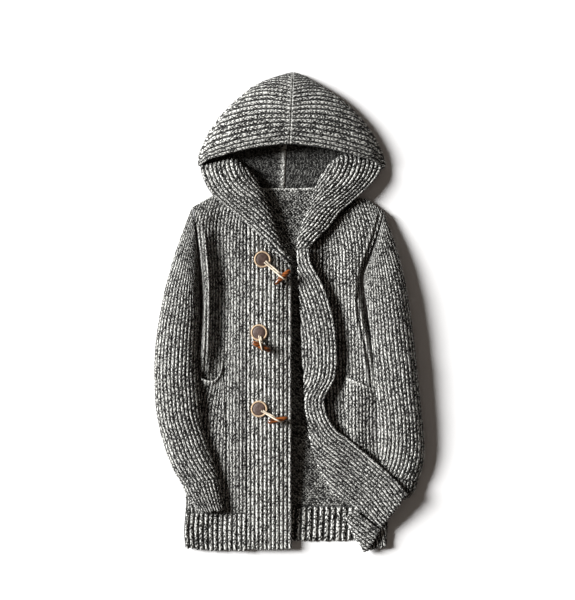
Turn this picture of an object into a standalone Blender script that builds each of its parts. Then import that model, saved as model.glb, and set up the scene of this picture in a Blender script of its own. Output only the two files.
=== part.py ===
"""Hooded cardigan in chunky marled rib knit, lying on its back and open at the front.

The plan is drawn on a grid: x runs to the wearer's left-hand side of the layout, y runs down from
the crown of the hood, and one step of the grid is STEP metres. Heights are in millimetres above the
surface that the cardigan lies on. Every cloth piece is a wall through rows of knots, and a smooth
surface runs through the knots both ways.
"""

import bmesh
import bpy
import numpy as np
from mathutils import Vector

# ---------------------------------------------------------------- driving dimensions
STEP = 0.0021  # metres in one step of the plan grid
MIDDLE_X = 289.4  # grid x of the middle of the whole layout
MIDDLE_Y = 311.7  # grid y of the middle of the whole layout
WALL = 4.0  # thickness of the knit, mm
RIB = 1.4  # height of a rib over the valley beside it, mm
GAP = 0.16  # half of the space at a seam, grid steps

PLACKET_RIBS = 12
POCKET_LIFT = 1.7  # room between a pocket and the panel below it, mm
HEM_LEFT_RIBS = 13
HEM_RIGHT_RIBS = 9
HEM_BACK_RIBS = 20
HOOD_RIBS = 14
TURNBACK_RIBS = 9
CUFF_RIBS = 9

DISC_RADIUS = 12.5
DISC_THICKNESS = 2.0
DISC_LIFT = 2.2
CORD_DIAMETER = 3.4
TOGGLE_LENGTH = 40.0
TOGGLE_DIAMETER = 10.0

# ---------------------------------------------------------------- sections
# Each row is one section of a piece, from the first named knot to the last: (grid x, grid y, mm).

# side edge | outer third | inner third | middle, and the same again to the right side edge
BACK = [
    [(192.6, 207.4, 2), (222, 192, 2), (258, 189, 2), (291, 188.8, 2),
     (324, 189, 2), (361, 198, 2), (383.4, 211.4, 2)],
    [(195.8, 229, 2), (226, 226, 2), (264, 226, 2), (291, 226, 2),
     (318, 226, 2), (352, 226, 2), (378, 229, 2)],
    [(199.2, 255, 2), (228, 254, 2), (264, 254, 2), (291, 254, 2),
     (318, 254, 2), (348, 254, 2), (368.6, 256, 2)],
    [(200.8, 282, 2), (230, 282, 2), (264, 282, 2), (291, 282, 2),
     (318, 282, 2), (344, 282, 2), (361.4, 279, 2)],
    [(200.4, 316, 2), (228, 316, 2), (264, 316, 2), (291, 316, 2),
     (318, 316, 2), (348, 316, 2), (366.6, 316, 2)],
    [(195.5, 354, 2), (226, 354, 2), (264, 354, 2), (291, 354, 2),
     (318, 354, 2), (350, 354, 2), (376, 354, 2)],
    [(190, 396, 2), (224, 396, 2), (264, 396, 2), (291, 396, 2),
     (318, 396, 2), (352, 396, 2), (383, 396, 2)],
    [(187, 450, 2), (222, 450, 2), (264, 450, 2), (291, 450, 2),
     (318, 450, 2), (354, 450, 2), (387, 450, 2)],
    [(185.6, 506, 2), (221, 506, 2), (264, 506, 2), (291, 506, 2),
     (318, 506, 2), (354, 506, 2), (388.5, 506, 2)],
]

HEM_BACK = [
    [(185.6, 506.3, 2), (252, 506.3, 2), (321, 506.3, 2), (388.5, 506.3, 2)],
    [(185.2, 522, 2), (252, 522, 2), (321, 522, 2), (387.8, 522, 2)],
    [(185.5, 539.5, 2), (252, 540.5, 2), (321, 539.5, 2), (386.4, 538.5, 2)],
]

# armhole, then side edge | trough beside the sleeve | crest | placket seam
FRONT_LEFT = [
    [(192.8, 207.2, 8), (204, 201.4, 9), (222, 193.4, 10), (234, 203, 12), (246.8, 217.4, 13)],
    [(195.8, 225, 17), (202, 223.6, 19), (220, 222, 12), (234, 225, 17), (246.8, 232, 19)],
    [(199.0, 250, 21), (204.4, 249, 23.5), (221, 248, 8.6), (235, 249, 20), (246.8, 252, 24)],
    [(200.4, 270, 19), (205.8, 270, 24), (223, 270, 6.8), (237, 270, 21), (246.8, 272, 26)],
    [(200.9, 288, 11), (206.2, 289, 24), (224, 291, 6.8), (238, 294, 23), (246.8, 296, 27)],
    [(200.6, 316, 6.8), (206.2, 316, 23), (224, 316, 6.8), (238, 318, 24), (246.8, 320, 28)],
    [(195.9, 354, 6.5), (204.4, 354, 20), (222, 354, 7.4), (237, 354, 24), (246.8, 354, 28)],
    [(193.4, 372, 6.5), (203.6, 372, 14), (221, 372, 8.6), (236, 372, 24), (246.8, 372, 28)],
    [(190, 396, 6.5), (205, 396, 8), (220, 396, 11.5), (235, 396, 26), (246.8, 397, 27)],
    [(187, 440, 6.5), (206, 440, 8), (222, 440, 12), (235, 440, 25), (246.8, 440, 25)],
    [(186, 478, 6.9), (208, 478, 7), (224, 478, 9), (236, 478, 19), (246.8, 478, 22)],
    [(185.6, 512.7, 7.9), (207, 512.7, 7.9), (224, 512.7, 9), (236, 512.7, 13), (246.8, 512.7, 17)],
]

# placket seam | inner third | outer third | free edge
PLACKET_LEFT = [
    [(247.1, 219, 14.5), (262, 235, 16), (277, 251, 15.5), (291.4, 266, 13)],
    [(247.1, 240, 21), (262, 250, 22), (277, 261, 21), (291.7, 272, 17)],
    [(247.1, 263, 25), (262, 268, 26.5), (277, 274, 26), (291.8, 281, 22)],
    [(247.1, 300, 27), (262, 302, 29), (277, 304, 29.5), (292, 306, 26)],
    [(247.1, 350, 27), (262, 350, 29.5), (277, 350, 30), (292, 350, 27)],
    [(247.1, 400, 26), (262, 400, 28.5), (277, 400, 29), (292, 400, 26)],
    [(247.1, 450, 24), (262, 450, 25.5), (277, 450, 26), (292, 450, 23)],
    [(247.1, 500, 18.5), (262, 500, 20), (277, 500, 20), (292, 500, 17)],
    [(247.1, 548.5, 13), (262, 549, 13.4), (277, 549, 13.4), (292, 548.5, 12)],
]

# side edge | under the cuff | crest | placket seam
HEM_LEFT = [
    [(185.6, 513, 7.9), (207, 513, 7.9), (224, 513, 9), (236, 513, 13), (246.8, 513, 17)],
    [(184.2, 530, 7.9), (206, 530, 7.9), (224, 530, 8.5), (236, 530, 11.4), (246.8, 530, 15)],
    [(185.4, 546.5, 7.9), (206, 548.5, 7.9), (224, 549, 8.2), (236, 549, 9.8), (246.8, 549, 13)],
]

# placket seam | trough | crest | valley at the sleeve | armhole, then side edge
FRONT_RIGHT = [
    [(323.2, 235.5, 10), (336, 221, 11), (350, 207.5, 11), (361, 198.6, 10), (383, 211.2, 8)],
    [(323.2, 248, 10.5), (336, 238, 13), (350, 230, 16), (363, 225, 17), (379.4, 227, 13)],
    [(323.2, 262, 10.5), (335, 257, 13), (347, 252, 18), (359, 248, 20), (371.2, 250, 13)],
    [(323.2, 285, 10.5), (334, 282, 11), (345, 279, 18), (355, 277, 21), (361.4, 275.5, 8)],
    [(323.4, 316, 10.5), (336, 316, 10.5), (348, 316, 16), (358, 316, 21), (366.4, 316, 6.5)],
    [(324.2, 354, 10.5), (339, 354, 10.5), (353, 354, 18), (367, 354, 21), (376, 354, 6.5)],
    [(326, 396, 10.5), (341, 396, 10.5), (354, 396, 18), (368, 396, 14), (383, 396, 6.5)],
    [(328.2, 430, 10.5), (342, 430, 10.5), (355, 430, 17), (368, 430, 12), (385.6, 430, 6.5)],
    [(331, 462, 10), (343, 462, 9.5), (356, 462, 10.5), (368, 462, 8), (387.4, 462, 6.5)],
    [(336.6, 484.5, 10), (347, 484.5, 9), (358, 484.5, 8.2), (369, 484.5, 7.8), (388.2, 484.5, 7.4)],
    [(356.6, 509, 9.5), (362, 509, 9), (368, 509, 8.6), (376, 509, 8.4), (388.6, 509, 8.2)],
]

# placket seam | under the fold | at the fold, low | outermost | at the fold, high | two thirds | free edge
PLACKET_RIGHT_TURNED = [
    [(322.2, 237, 10.5), (313, 244, 11), (304, 249.6, 11), (298.4, 249.5, 16),
     (301.2, 249.4, 21), (305, 249.3, 24.4), (309.6, 249.2, 25.4)],
    [(322.2, 258, 10.5), (312, 260, 11), (303, 262, 11), (298.6, 262.5, 16),
     (302, 262, 21), (306, 261.5, 25), (311, 260.5, 26)],
    [(322.2, 285, 10.5), (312, 286, 11), (304, 287, 11), (300, 287.5, 16),
     (304, 287, 21), (313, 286, 25), (323, 284.5, 26)],
    [(322.4, 316, 10.5), (313, 316, 11), (306, 316, 11), (301.6, 316, 16),
     (306, 316, 21), (319, 315, 27.5), (332.5, 314, 27.5)],
    [(323, 350, 10.5), (314, 350, 11), (307.5, 350, 11), (303.2, 350, 16),
     (307.5, 350, 21), (322, 350, 28.5), (337, 350, 29)],
    [(324, 378, 10.5), (315, 378, 11), (309, 378, 11), (304.8, 378, 16),
     (309, 378, 21), (322, 378, 28), (335, 378, 28.5)],
    [(325, 400, 10.5), (316, 401, 11), (310.5, 401, 11), (306, 401, 16),
     (310.5, 401, 21), (318, 400, 25), (325, 399, 26)],
    [(326, 420, 10.5), (318, 421, 11), (312.5, 421, 11), (308.2, 421, 16),
     (312.5, 420.5, 21), (320, 418.5, 25), (328.5, 417, 25)],
    [(327.4, 444, 10.5), (321, 444, 11), (316, 443, 11), (311.6, 441.5, 16),
     (316, 440, 21), (327, 436, 25.5), (338, 430.5, 25)],
    [(328.6, 463, 10.5), (324, 462, 11), (320.6, 460.5, 11), (316.6, 458, 16),
     (321, 455, 21), (333, 448, 25.5), (347, 437, 26)],
    [(329.6, 474, 10.5), (327, 473.5, 11), (325.6, 473, 11), (321.6, 471.5, 16),
     (326, 467.5, 21), (341, 456, 25.5), (357, 445, 27)],
    [(333, 485.4, 10.5), (331.8, 485.2, 11), (331, 484.8, 11.5), (328, 483, 16),
     (332, 479, 21), (350, 466, 25), (367, 453.5, 28)],
    [(344, 498.8, 10.5), (343.2, 498.6, 11), (342.4, 498, 11.5), (339.4, 496, 16),
     (343.4, 492, 21), (361, 479, 25), (380, 464.5, 31)],
    [(354, 506, 15.5), (355.4, 504.6, 17), (357.4, 502.8, 18.6), (360.6, 500.2, 20.5),
     (364.6, 497, 22.4), (378, 486.5, 27), (394, 477, 32)],
    [(379.8, 527, 20), (381.4, 525, 20.6), (383.6, 522.4, 21.4), (386.4, 519, 22.6),
     (390, 514.4, 24.2), (398, 503.5, 28), (406.4, 492, 30)],
]

# side edge | under the turned part | at the fold, low | outermost | at the fold, high | middle of the
# turned part | placket seam
HEM_RIGHT_TURNED = [
    [(388.6, 509.6, 9.6), (368, 511.2, 9.6), (351, 513.4, 9.8), (345.4, 516, 13.2),
     (347.6, 515, 17.2), (350.4, 511.6, 18.4), (353.2, 507.6, 18.4)],
    [(387.6, 527, 9.6), (373, 529, 9.6), (360, 532, 9.8), (354.6, 534.6, 13.6),
     (358.4, 530.6, 18), (362.6, 524.6, 19.2), (366.6, 518, 19.8)],
    [(386.2, 545.4, 9.4), (378.6, 546.8, 9.4), (370, 549, 9.4), (364.8, 550.8, 12.8),
     (369, 546.4, 17.2), (374.4, 537.4, 19.4), (379.4, 528.2, 20.4)],
]

# The two halves of the hood meet at the centre seam. One row for each distance from the face edge:
# outline x and y | centre seam y, upper layer | ridge height | centre seam y, lower layer
HOOD_LEFT = [
    (197.6, 165.0, 145.2, 45, 188.2),
    (198.8, 156.0, 134.4, 47, 172.0),
    (203.6, 142.5, 122.0, 46, 156.0),
    (211.2, 128.8, 109.0, 42, 140.0),
    (221.6, 114.6, 96.4, 35, 124.0),
    (236.0, 100.2, 84.6, 27, 107.0),
    (256.4, 84.8, 76.4, 18, 90.0),
    (285.4, 74.0, 72.4, 8.8, 76.0),
]
HOOD_RIGHT = [
    (385.6, 167.0, 145.2, 45, 188.2),
    (383.4, 156.5, 134.4, 47, 172.0),
    (377.4, 142.5, 122.0, 46, 156.0),
    (369.0, 128.5, 109.0, 42, 140.0),
    (357.6, 114.4, 96.4, 35, 124.0),
    (341.0, 99.0, 84.6, 27, 107.0),
    (319.0, 84.6, 76.4, 18, 90.0),
    (300.4, 74.2, 72.4, 8.8, 76.0),
]
HOOD_SEAM_X = 289.6  # at the face edge of the hood
HOOD_SEAM_LEAN = 0.052  # grid steps to the right for each step up the seam

# neck seam | under the roll | roll | top of the roll | middle | free edge
TURNBACK_LEFT = [
    [(236, 176, 4), (238, 168, 4), (237, 161, 4.2), (232, 158, 4.4), (218, 161, 4.4), (201.5, 165, 4)],
    [(240, 186, 7), (243, 175, 12), (241, 165.5, 19), (234, 164, 22), (219, 167.5, 21), (201, 170, 12)],
    [(243.5, 193, 8), (249, 183, 13), (250.5, 173.5, 20),
     (245, 172.5, 26), (228, 179, 28), (205.6, 183.5, 17)],
    [(248, 201, 8), (255, 192, 14), (257.6, 184, 21), (252, 182.5, 28), (235, 189.5, 30), (213, 195.4, 20)],
    [(253.5, 210, 8), (261, 203, 14), (264, 197, 21), (258.5, 195, 28), (244, 201.5, 30), (226, 206.2, 22)],
    [(259, 220, 8), (266, 215, 15), (269, 210.5, 21), (264, 209, 27), (253, 213, 29), (239, 217, 22)],
    [(266, 232, 8), (271.5, 229, 15), (273.8, 225.5, 20),
     (269.5, 225, 26), (262, 227, 27), (252, 229.2, 22.5)],
    [(274.5, 244.5, 8), (277.6, 243, 14), (278.8, 240.5, 19),
     (276, 240, 25), (271.5, 241, 27), (265.5, 242.4, 25.5)],
    [(284.5, 256.5, 9), (285.8, 255.8, 13), (286.4, 254.8, 17),
     (284.8, 254.2, 22.4), (282, 255, 24.6), (278.4, 256.4, 24.4)],
    [(290.6, 262.6, 11), (291.6, 262, 14), (292, 261, 17),
     (291, 260.6, 21), (289, 261.6, 23), (286.6, 263.6, 23)],
]
TURNBACK_RIGHT = [
    [(340, 172, 4), (338, 166, 4), (338, 158, 4.2), (344, 155.5, 4.4), (360, 157, 4.4), (381, 163, 4)],
    [(338, 184, 7), (332.5, 174, 12), (332, 164, 19), (338, 161.5, 22), (356, 162.5, 21), (382, 166.5, 12)],
    [(336, 192, 8), (328, 184, 13), (323.5, 174.5, 20), (329, 172.5, 26), (349, 175, 28), (378, 176, 17)],
    [(333, 203, 8), (323, 197, 14), (316.5, 188.5, 21), (322, 186, 28), (341, 188, 30), (368, 187.5, 20)],
    [(327, 213, 8), (318, 209, 14), (311.8, 203, 21), (317, 200.5, 28), (332, 200.5, 30), (354, 200.5, 22)],
    [(322, 222, 8), (313, 219.5, 15), (307.6, 215, 21),
     (312.6, 212.5, 27), (325, 212, 29), (341, 211, 22.5)],
    [(315, 232.5, 8), (307, 231, 15), (302, 228, 20), (307, 226.5, 26), (318, 226, 27), (330, 226, 22.5)],
    [(308, 240, 9), (302.5, 239.5, 14), (299, 238, 18),
     (302.6, 237.4, 23), (310, 237.5, 24.5), (318.5, 238.2, 23)],
    [(303.8, 248.6, 10.4), (300.6, 249, 13), (298.4, 249, 16.6),
     (300.8, 248.9, 20.8), (305, 248.9, 24), (309.6, 248.8, 25)],
]

# Sections of a sleeve: outer outline x, y | inner boundary x, y | bow of the section | height of the
# crest | height at the outline | height at the inner boundary | height of what lies under the inner
# part | share of the section at which it has climbed onto it
SLEEVE_LEFT = [
    (192.2, 207.6, 200.2, 286.6, 1.2, 26, 9, 9, 1, 0.9),
    (187.0, 221.0, 200.5, 291.0, 1.0, 31, 12, 10, 1, 0.9),
    (178.0, 246.0, 200.4, 299.0, 0.6, 37, 14, 11, 1, 0.9),
    (168.5, 277.0, 200.0, 312.0, 0, 40, 14, 12, 1, 0.9),
    (161.5, 309.0, 198.8, 330.0, 0, 41, 14, 13, 1, 0.9),
    (156.2, 345.0, 197.0, 354.0, 0, 41, 14, 15, 9.4, 0.94),
    (155.2, 385.0, 199.6, 384.0, 0, 41, 14, 19, 14.8, 0.72),
    (157.6, 415.0, 201.0, 409.0, 0, 40, 14, 21, 15.4, 0.62),
    (162.4, 437.0, 203.4, 428.0, 0, 39, 15, 21, 16.4, 0.53),
    (169.6, 459.0, 209.0, 447.6, 0, 38, 17, 21, 16.4, 0.38),
    (176.4, 473.5, 214.6, 463.4, 0, 37, 19, 21, 16.4, 0.2),
    (183.0, 484.6, 218.4, 477.2, 0, 36, 21, 21, 16.4, 0.02),
]
CUFF_LEFT = [
    (183.3, 485.2, 218.6, 477.8, 0, 36, 21, 21, 16.4, 0.02),
    (188.0, 495.0, 221.0, 489.2, 0, 34, 21, 21, 16.4, -0.2),
    (200.6, 512.0, 223.6, 508.0, 0, 32, 21, 21, 16.4, -0.4),
]
SLEEVE_RIGHT = [
    (383.8, 211.8, 363.0, 275.2, 1.6, 24, 9, 9, 1, 0.9),
    (388.4, 226.0, 363.2, 282.0, 1.2, 30, 12, 10, 1, 0.9),
    (396.6, 250.0, 364.8, 294.0, 0.6, 36, 14, 11, 1, 0.9),
    (404.0, 279.0, 367.4, 309.0, 0, 40, 14, 14, 2, 0.9),
    (410.0, 314.0, 370.4, 331.0, 0, 41, 14, 18, 10, 0.9),
    (415.0, 354.0, 373.4, 360.0, 0, 41, 14, 20, 14, 0.84),
    (419.0, 394.0, 375.6, 390.0, 0, 40, 14, 20, 15, 0.8),
    (422.2, 424.0, 377.2, 417.0, 0, 38, 13, 20, 15, 0.8),
    (423.8, 447.0, 378.4, 440.0, 0, 35, 12, 19.6, 15, 0.78),
    (422.0, 467.0, 379.2, 459.0, 0, 30.4, 11, 19, 14.6, 0.76),
    (417.0, 481.0, 379.6, 474.0, 0, 26, 10, 18.6, 14.4, 0.72),
]
CUFF_RIGHT = [
    (416.7, 481.8, 379.5, 474.8, 0, 26, 10, 18.6, 14.4, 0.72),
    (414.4, 490.0, 379.8, 486.0, 0, 24.2, 9, 18.4, 14.2, 0.68),
    (408.0, 497.6, 380.6, 499.0, 0, 22.4, 9, 18.4, 14, 0.6),
]

# Patch pockets, in plan: side under the sleeve | middle | side towards the placket
POCKET_LEFT = [
    [(201.4, 377.4), (207, 379.8), (213.5, 380.4), (219.5, 374), (223, 361)],
    [(195.4, 402), (205, 402), (213, 402), (220, 400), (225, 396)],
    [(192, 440), (205, 440), (213, 440), (220, 440), (226, 440)],
    [(190.6, 475), (205, 475), (213, 475), (220, 475), (226.6, 475)],
    [(190, 507), (205, 507), (213, 507), (221, 507), (227, 507)],
]
POCKET_RIGHT = [
    [(345.4, 376.8), (353, 379.8), (361, 383.2), (368, 386.4), (375.6, 388.8)],
    [(345.4, 404), (353, 404), (361, 404), (369, 404), (377.6, 404)],
    [(345.4, 430), (353, 430), (361, 430), (369, 430), (381, 430)],
    [(347, 458), (354, 458), (362, 458), (370, 458), (382, 458)],
    [(355, 490), (360, 490), (366, 490), (372, 490), (382, 490)],
]

# Toggles: disc x, y | first end x, y | second end x, y
TOGGLES = [
    (262.6, 259.6, 275.6, 284.0, 290.0, 270.6),
    (259.4, 332.4, 252.6, 341.6, 271.4, 350.8),
    (259.4, 408.4, 268.4, 421.4, 288.0, 417.0),
]

# Sleeve's and cuff's shape around a section
SLEEVE_ROUND = 18  # points around a sleeve
SLEEVE_RINGS = 14
ELBOW = 7  # ring at which a sleeve's upper tube ends
DOME = 0.9  # 1 is an ellipse over the section, and less is flatter on top
SOLE = 0.5  # the same below it

# ---------------------------------------------------------------- colours
KNIT = (0.27, 0.26, 0.235, 1.0)
LEATHER = (0.12, 0.085, 0.065, 1.0)
CORD = (0.62, 0.53, 0.40, 1.0)
HORN = (0.30, 0.13, 0.045, 1.0)


# ---------------------------------------------------------------- curves and surfaces
def smooth(stations, values, at):
    """Values of a smooth curve through `values` at `stations`, read at `at`."""
    stations = np.asarray(stations, float)
    values = np.asarray(values, float)
    slopes = np.gradient(values, stations, axis=0)
    low = np.clip(np.searchsorted(stations, at, side="right") - 1, 0, len(stations) - 2)
    span = stations[low + 1] - stations[low]
    part = (np.asarray(at, float) - stations[low]) / span
    shape = (-1,) + (1,) * (values.ndim - 1)
    span = span.reshape(shape)
    part = part.reshape(shape)
    start = (2 * part**3 - 3 * part**2 + 1) * values[low]
    start += (part**3 - 2 * part**2 + part) * span * slopes[low]
    end = (3 * part**2 - 2 * part**3) * values[low + 1] + (part**3 - part**2) * span * slopes[low + 1]
    return start + end


def lengths(points):
    """Distance of each point from the first one, along the line through them."""
    sides = np.linalg.norm(np.diff(points, axis=0), axis=-1)
    return np.concatenate([[0.0], np.cumsum(sides)])


def millimetres(rows):
    """Knots in millimetres, with x to the right, y up the page and the middle of the layout at zero."""
    rows = np.asarray(rows, float).copy()
    rows[..., 0] = (rows[..., 0] - MIDDLE_X) * STEP * 1000
    rows[..., 1] = (MIDDLE_Y - rows[..., 1]) * STEP * 1000
    return rows


def even(points, count):
    """Points at equal distances on the smooth line through `points`."""
    along = lengths(points)
    fine = smooth(along, points, np.linspace(0, along[-1], 160))
    along = lengths(fine)
    at = np.linspace(0, along[-1], count)
    return np.stack([np.interp(at, along, fine[:, axis]) for axis in range(3)], axis=-1)


def surface(rows, along, across):
    """A grid of points, `along` rows by `across` columns, on the surface through the knots."""
    rows = millimetres(rows)
    sides = np.linalg.norm(np.diff(rows, axis=0), axis=-1).mean(axis=1)
    stations = np.concatenate([[0.0], np.cumsum(sides)])
    wanted = smooth(stations, rows, np.linspace(0, stations[-1], along))
    return np.stack([even(row, across) for row in wanted])


def normals(grid):
    """Unit normals of a grid of points, on the side that shows in the layout."""
    down = np.gradient(grid, axis=0)
    over = np.gradient(grid, axis=1)
    found = np.cross(down, over)
    return found / np.linalg.norm(found, axis=-1, keepdims=True)


def ribs(count, columns):
    """Height of the knit at each column: a rib between each two valleys."""
    place = np.linspace(0, 2 * count, columns)
    return RIB * (1 - np.cos(np.pi * place)) / 2


# ---------------------------------------------------------------- solids
def solid(name, points, faces, colour, roughness=0.9):
    """One closed mesh object from points in millimetres, with a material of its own."""
    mesh = bpy.data.meshes.new(name)
    mesh.from_pydata([tuple(point) for point in np.asarray(points) / 1000], [], faces)
    work = bmesh.new()
    work.from_mesh(mesh)
    bmesh.ops.recalc_face_normals(work, faces=work.faces)
    work.to_mesh(mesh)
    work.free()
    thing = bpy.data.objects.new(name, mesh)
    parts.objects.link(thing)
    thing.data.materials.append(material(name, colour, roughness))
    return thing


def material(name, colour, roughness, metallic=0.0):
    made = bpy.data.materials.new(name)
    made.use_nodes = True
    shader = made.node_tree.nodes["Principled BSDF"]
    shader.inputs["Base Color"].default_value = colour
    shader.inputs["Roughness"].default_value = roughness
    shader.inputs["Metallic"].default_value = metallic
    return made


def zip_edges(first, second):
    """Triangles between two lines of vertices that may differ in number."""
    faces = []
    a = b = 0
    while a < len(first) - 1 or b < len(second) - 1:
        next_a = (a + 1) / (len(first) - 1)
        next_b = (b + 1) / (len(second) - 1)
        if b == len(second) - 1 or (a < len(first) - 1 and next_a <= next_b):
            faces.append((first[a], first[a + 1], second[b]))
            a += 1
        else:
            faces.append((first[a], second[b + 1], second[b]))
            b += 1
    return faces


def wall(name, upper, lower, colour=KNIT):
    """A wall between two grids with the same number of rows."""
    rows = len(upper)
    top = np.arange(rows * upper.shape[1]).reshape(rows, -1)
    under = np.arange(rows * lower.shape[1]).reshape(rows, -1) + top.size
    faces = []
    for grid in (top, under):
        for row in range(rows - 1):
            for column in range(grid.shape[1] - 1):
                corner = (grid[row, column], grid[row, column + 1])
                faces.append(corner + (grid[row + 1, column + 1], grid[row + 1, column]))
    for row in range(rows - 1):
        faces.append((top[row, 0], top[row + 1, 0], under[row + 1, 0], under[row, 0]))
        faces.append((top[row, -1], top[row + 1, -1], under[row + 1, -1], under[row, -1]))
    for row in (0, rows - 1):
        faces.extend(zip_edges(list(top[row]), list(under[row])))
    points = np.concatenate([upper.reshape(-1, 3), lower.reshape(-1, 3)])
    faces = [tuple(int(index) for index in face) for face in faces]
    return solid(name, points, faces, colour)


def tube(name, outer, inner, colour=KNIT):
    """A wall between two rings of points at each section, open at both ends."""
    rows, around = outer.shape[:2]
    out = np.arange(rows * around).reshape(rows, around)
    within = out + rows * around
    faces = []
    for row in range(rows - 1):
        for column in range(around):
            after = (column + 1) % around
            faces.append((out[row, column], out[row, after], out[row + 1, after], out[row + 1, column]))
            faces.append(
                (within[row, column], within[row, after], within[row + 1, after], within[row + 1, column])
            )
    for row in (0, rows - 1):
        for column in range(around):
            after = (column + 1) % around
            faces.append((out[row, column], out[row, after], within[row, after], within[row, column]))
    points = np.concatenate([outer.reshape(-1, 3), inner.reshape(-1, 3)])
    faces = [tuple(int(index) for index in face) for face in faces]
    return solid(name, points, faces, colour)


def height_at(grid, x, y):
    """Height of a panel's middle surface at one point, between its rows and columns."""
    across = [(np.interp(x, row[:, 0], row[:, 1]), np.interp(x, row[:, 0], row[:, 2])) for row in grid]
    places, heights = np.array(across).T
    return np.interp(-y, -places, heights)


def pocket(name, rows, under, along, across):
    """A patch pocket: its wall follows the panel that it is sewn to, moved out."""
    flat = [[(x, y, 0) for x, y in row] for row in rows]
    middle = surface(flat, along, across)
    for point in middle.reshape(-1, 3):
        point[2] = height_at(under, point[0], point[1]) + WALL + POCKET_LIFT
    half = np.array([0, 0, WALL / 2])
    return wall(name, middle + half, middle - half)


def panel(name, rows, along, across, rib_count=0, under_across=None, ribbed_under=False):
    """A panel that lies face up: its wall is measured straight down."""
    columns = 2 * rib_count + 1 if rib_count else across
    upper = surface(rows, along, columns)
    lower = surface(rows, along, columns if ribbed_under else under_across or columns)
    upper[..., 2] += WALL / 2
    lower[..., 2] -= WALL / 2
    if rib_count:
        upper[..., 2] += ribs(rib_count, columns)
    if ribbed_under:
        lower[..., 2] -= ribs(rib_count, columns)
    return wall(name, upper, lower)


def folded(name, rows, along, rib_count):
    """A strip that turns over at a fold: its wall is measured square to the cloth, ribbed on both faces."""
    columns = 2 * rib_count + 1
    middle = surface(rows, along, columns)
    out = normals(middle)
    high = (WALL / 2 + ribs(rib_count, columns))[None, :, None]
    return wall(name, middle + out * high, middle - out * high)


# ---------------------------------------------------------------- sleeves and cuffs
def rings(rows, along, around, inset=0.0, rib_count=0):
    """Rings of points around a sleeve, `inset` millimetres inside its outer face."""
    rows = np.asarray(rows, float)
    outline = millimetres(np.column_stack([rows[:, 0], rows[:, 1], rows[:, 6]]))
    inside = millimetres(np.column_stack([rows[:, 2], rows[:, 3], rows[:, 7]]))
    sides = np.linalg.norm(np.diff((outline + inside) / 2, axis=0), axis=-1)
    stations = np.concatenate([[0.0], np.cumsum(sides)])
    at = np.linspace(0, stations[-1], along)
    outline = smooth(stations, outline, at)
    inside = smooth(stations, inside, at)
    bow, crest, rest, climb = smooth(stations, rows[:, [4, 5, 8, 9]], at).T
    angle = np.linspace(0, 2 * np.pi, around, endpoint=False)
    over = np.clip(np.sin(angle), 0, 1) ** DOME
    below = np.clip(-np.sin(angle), 0, 1) ** SOLE
    found = []
    for first, last, bend, top, low, climbed in zip(outline, inside, bow, crest, rest, climb):
        chord = last - first
        width = np.linalg.norm(chord[:2])
        start = inset * 1.15 / width
        share = start + (1 - 2 * start) * (1 - np.cos(angle)) / 2
        ring = first + share[:, None] * chord
        square = np.array([-chord[1], chord[0]]) / width
        ring[:, :2] += 4 * (share * (1 - share) * bend * STEP * 1000)[:, None] * square
        edge = ring[:, 2].copy()
        ground = low * np.clip((share - climbed) / 0.2 + 1, 0, 1)
        raised = RIB * (1 - np.cos(4 * np.pi * rib_count * share)) / 2 * over if rib_count else 0
        raised = raised if inset == 0 else 0
        up = edge + (top - inset + raised - edge) * over
        down = edge - np.maximum(edge - ground - inset - 0.2, 0.3) * below
        ring[:, 2] = np.where(np.sin(angle) >= 0, up, down)
        found.append(ring)
    return np.stack(found)


def cuff(name, rows):
    return tube(name, rings(rows, 4, 36, 0.0, CUFF_RIBS), rings(rows, 4, 36, WALL))


def sleeve(name, rows):
    """One sleeve as an upper and a lower tube, with a narrow gap between them near the elbow."""
    outer = rings(rows, SLEEVE_RINGS, SLEEVE_ROUND)
    inner = rings(rows, SLEEVE_RINGS, SLEEVE_ROUND, WALL)
    tube(name + "_upper", outer[: ELBOW + 1], inner[: ELBOW + 1])
    lower_outer = outer[ELBOW:].copy()
    lower_inner = inner[ELBOW:].copy()
    for rows_below in (lower_outer, lower_inner):
        rows_below[0] += 0.01 * (rows_below[1] - rows_below[0])
    tube(name + "_lower", lower_outer, lower_inner)


# ---------------------------------------------------------------- hood
def hood_sections(rows, side, inset, columns):
    """Sections of half the hood from the centre seam over the outline to the centre seam below."""
    rows = np.asarray(rows, float)
    sides = np.hypot(np.diff(rows[:, 0]), np.diff(rows[:, 1]))
    stations = np.concatenate([[0.0], np.cumsum(sides)])
    at = np.linspace(0, stations[-1], columns)
    outline_x, outline_y, upper_y, ridge, lower_y = smooth(stations, rows, at).T
    seam_x = HOOD_SEAM_X + HOOD_SEAM_LEAN * (rows[0, 2] - upper_y) + side * GAP
    lower_x = seam_x - 4.5 * np.clip((lower_y - 78) / 60, 0, 1)
    found = []
    for share in (0, 0.16, 0.34, 0.54, 0.74, 0.9):
        x = seam_x + (outline_x - seam_x) * share
        arch = (1 - share**2.4) ** 0.62
        y = upper_y + (outline_y - upper_y) * (0.35 * share + 0.65 * share**2.2)
        found.append(np.column_stack([x, y, 9 - inset + (ridge - 9) * arch]))
    pull = inset / (STEP * 1000)
    for out, height in ((0.98, 8.9 - inset), (1.0, 4.4), (0.98, inset)):
        x = seam_x + (outline_x - seam_x) * out
        y = outline_y + (0.2 if out == 1.0 else 0.9)
        shift = side * pull * (1.0 if out == 1.0 else 0.6)
        found.append(np.column_stack([x - shift, y + pull * 0.5, np.full(columns, height)]))
    for share in (0.85, 0.6, 0.3, 0):
        x = lower_x + (outline_x - lower_x) * share
        y = lower_y + (outline_y - lower_y) * share**3
        found.append(np.column_stack([x, y, np.full(columns, inset)]))
    return millimetres(np.stack(found))


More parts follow.
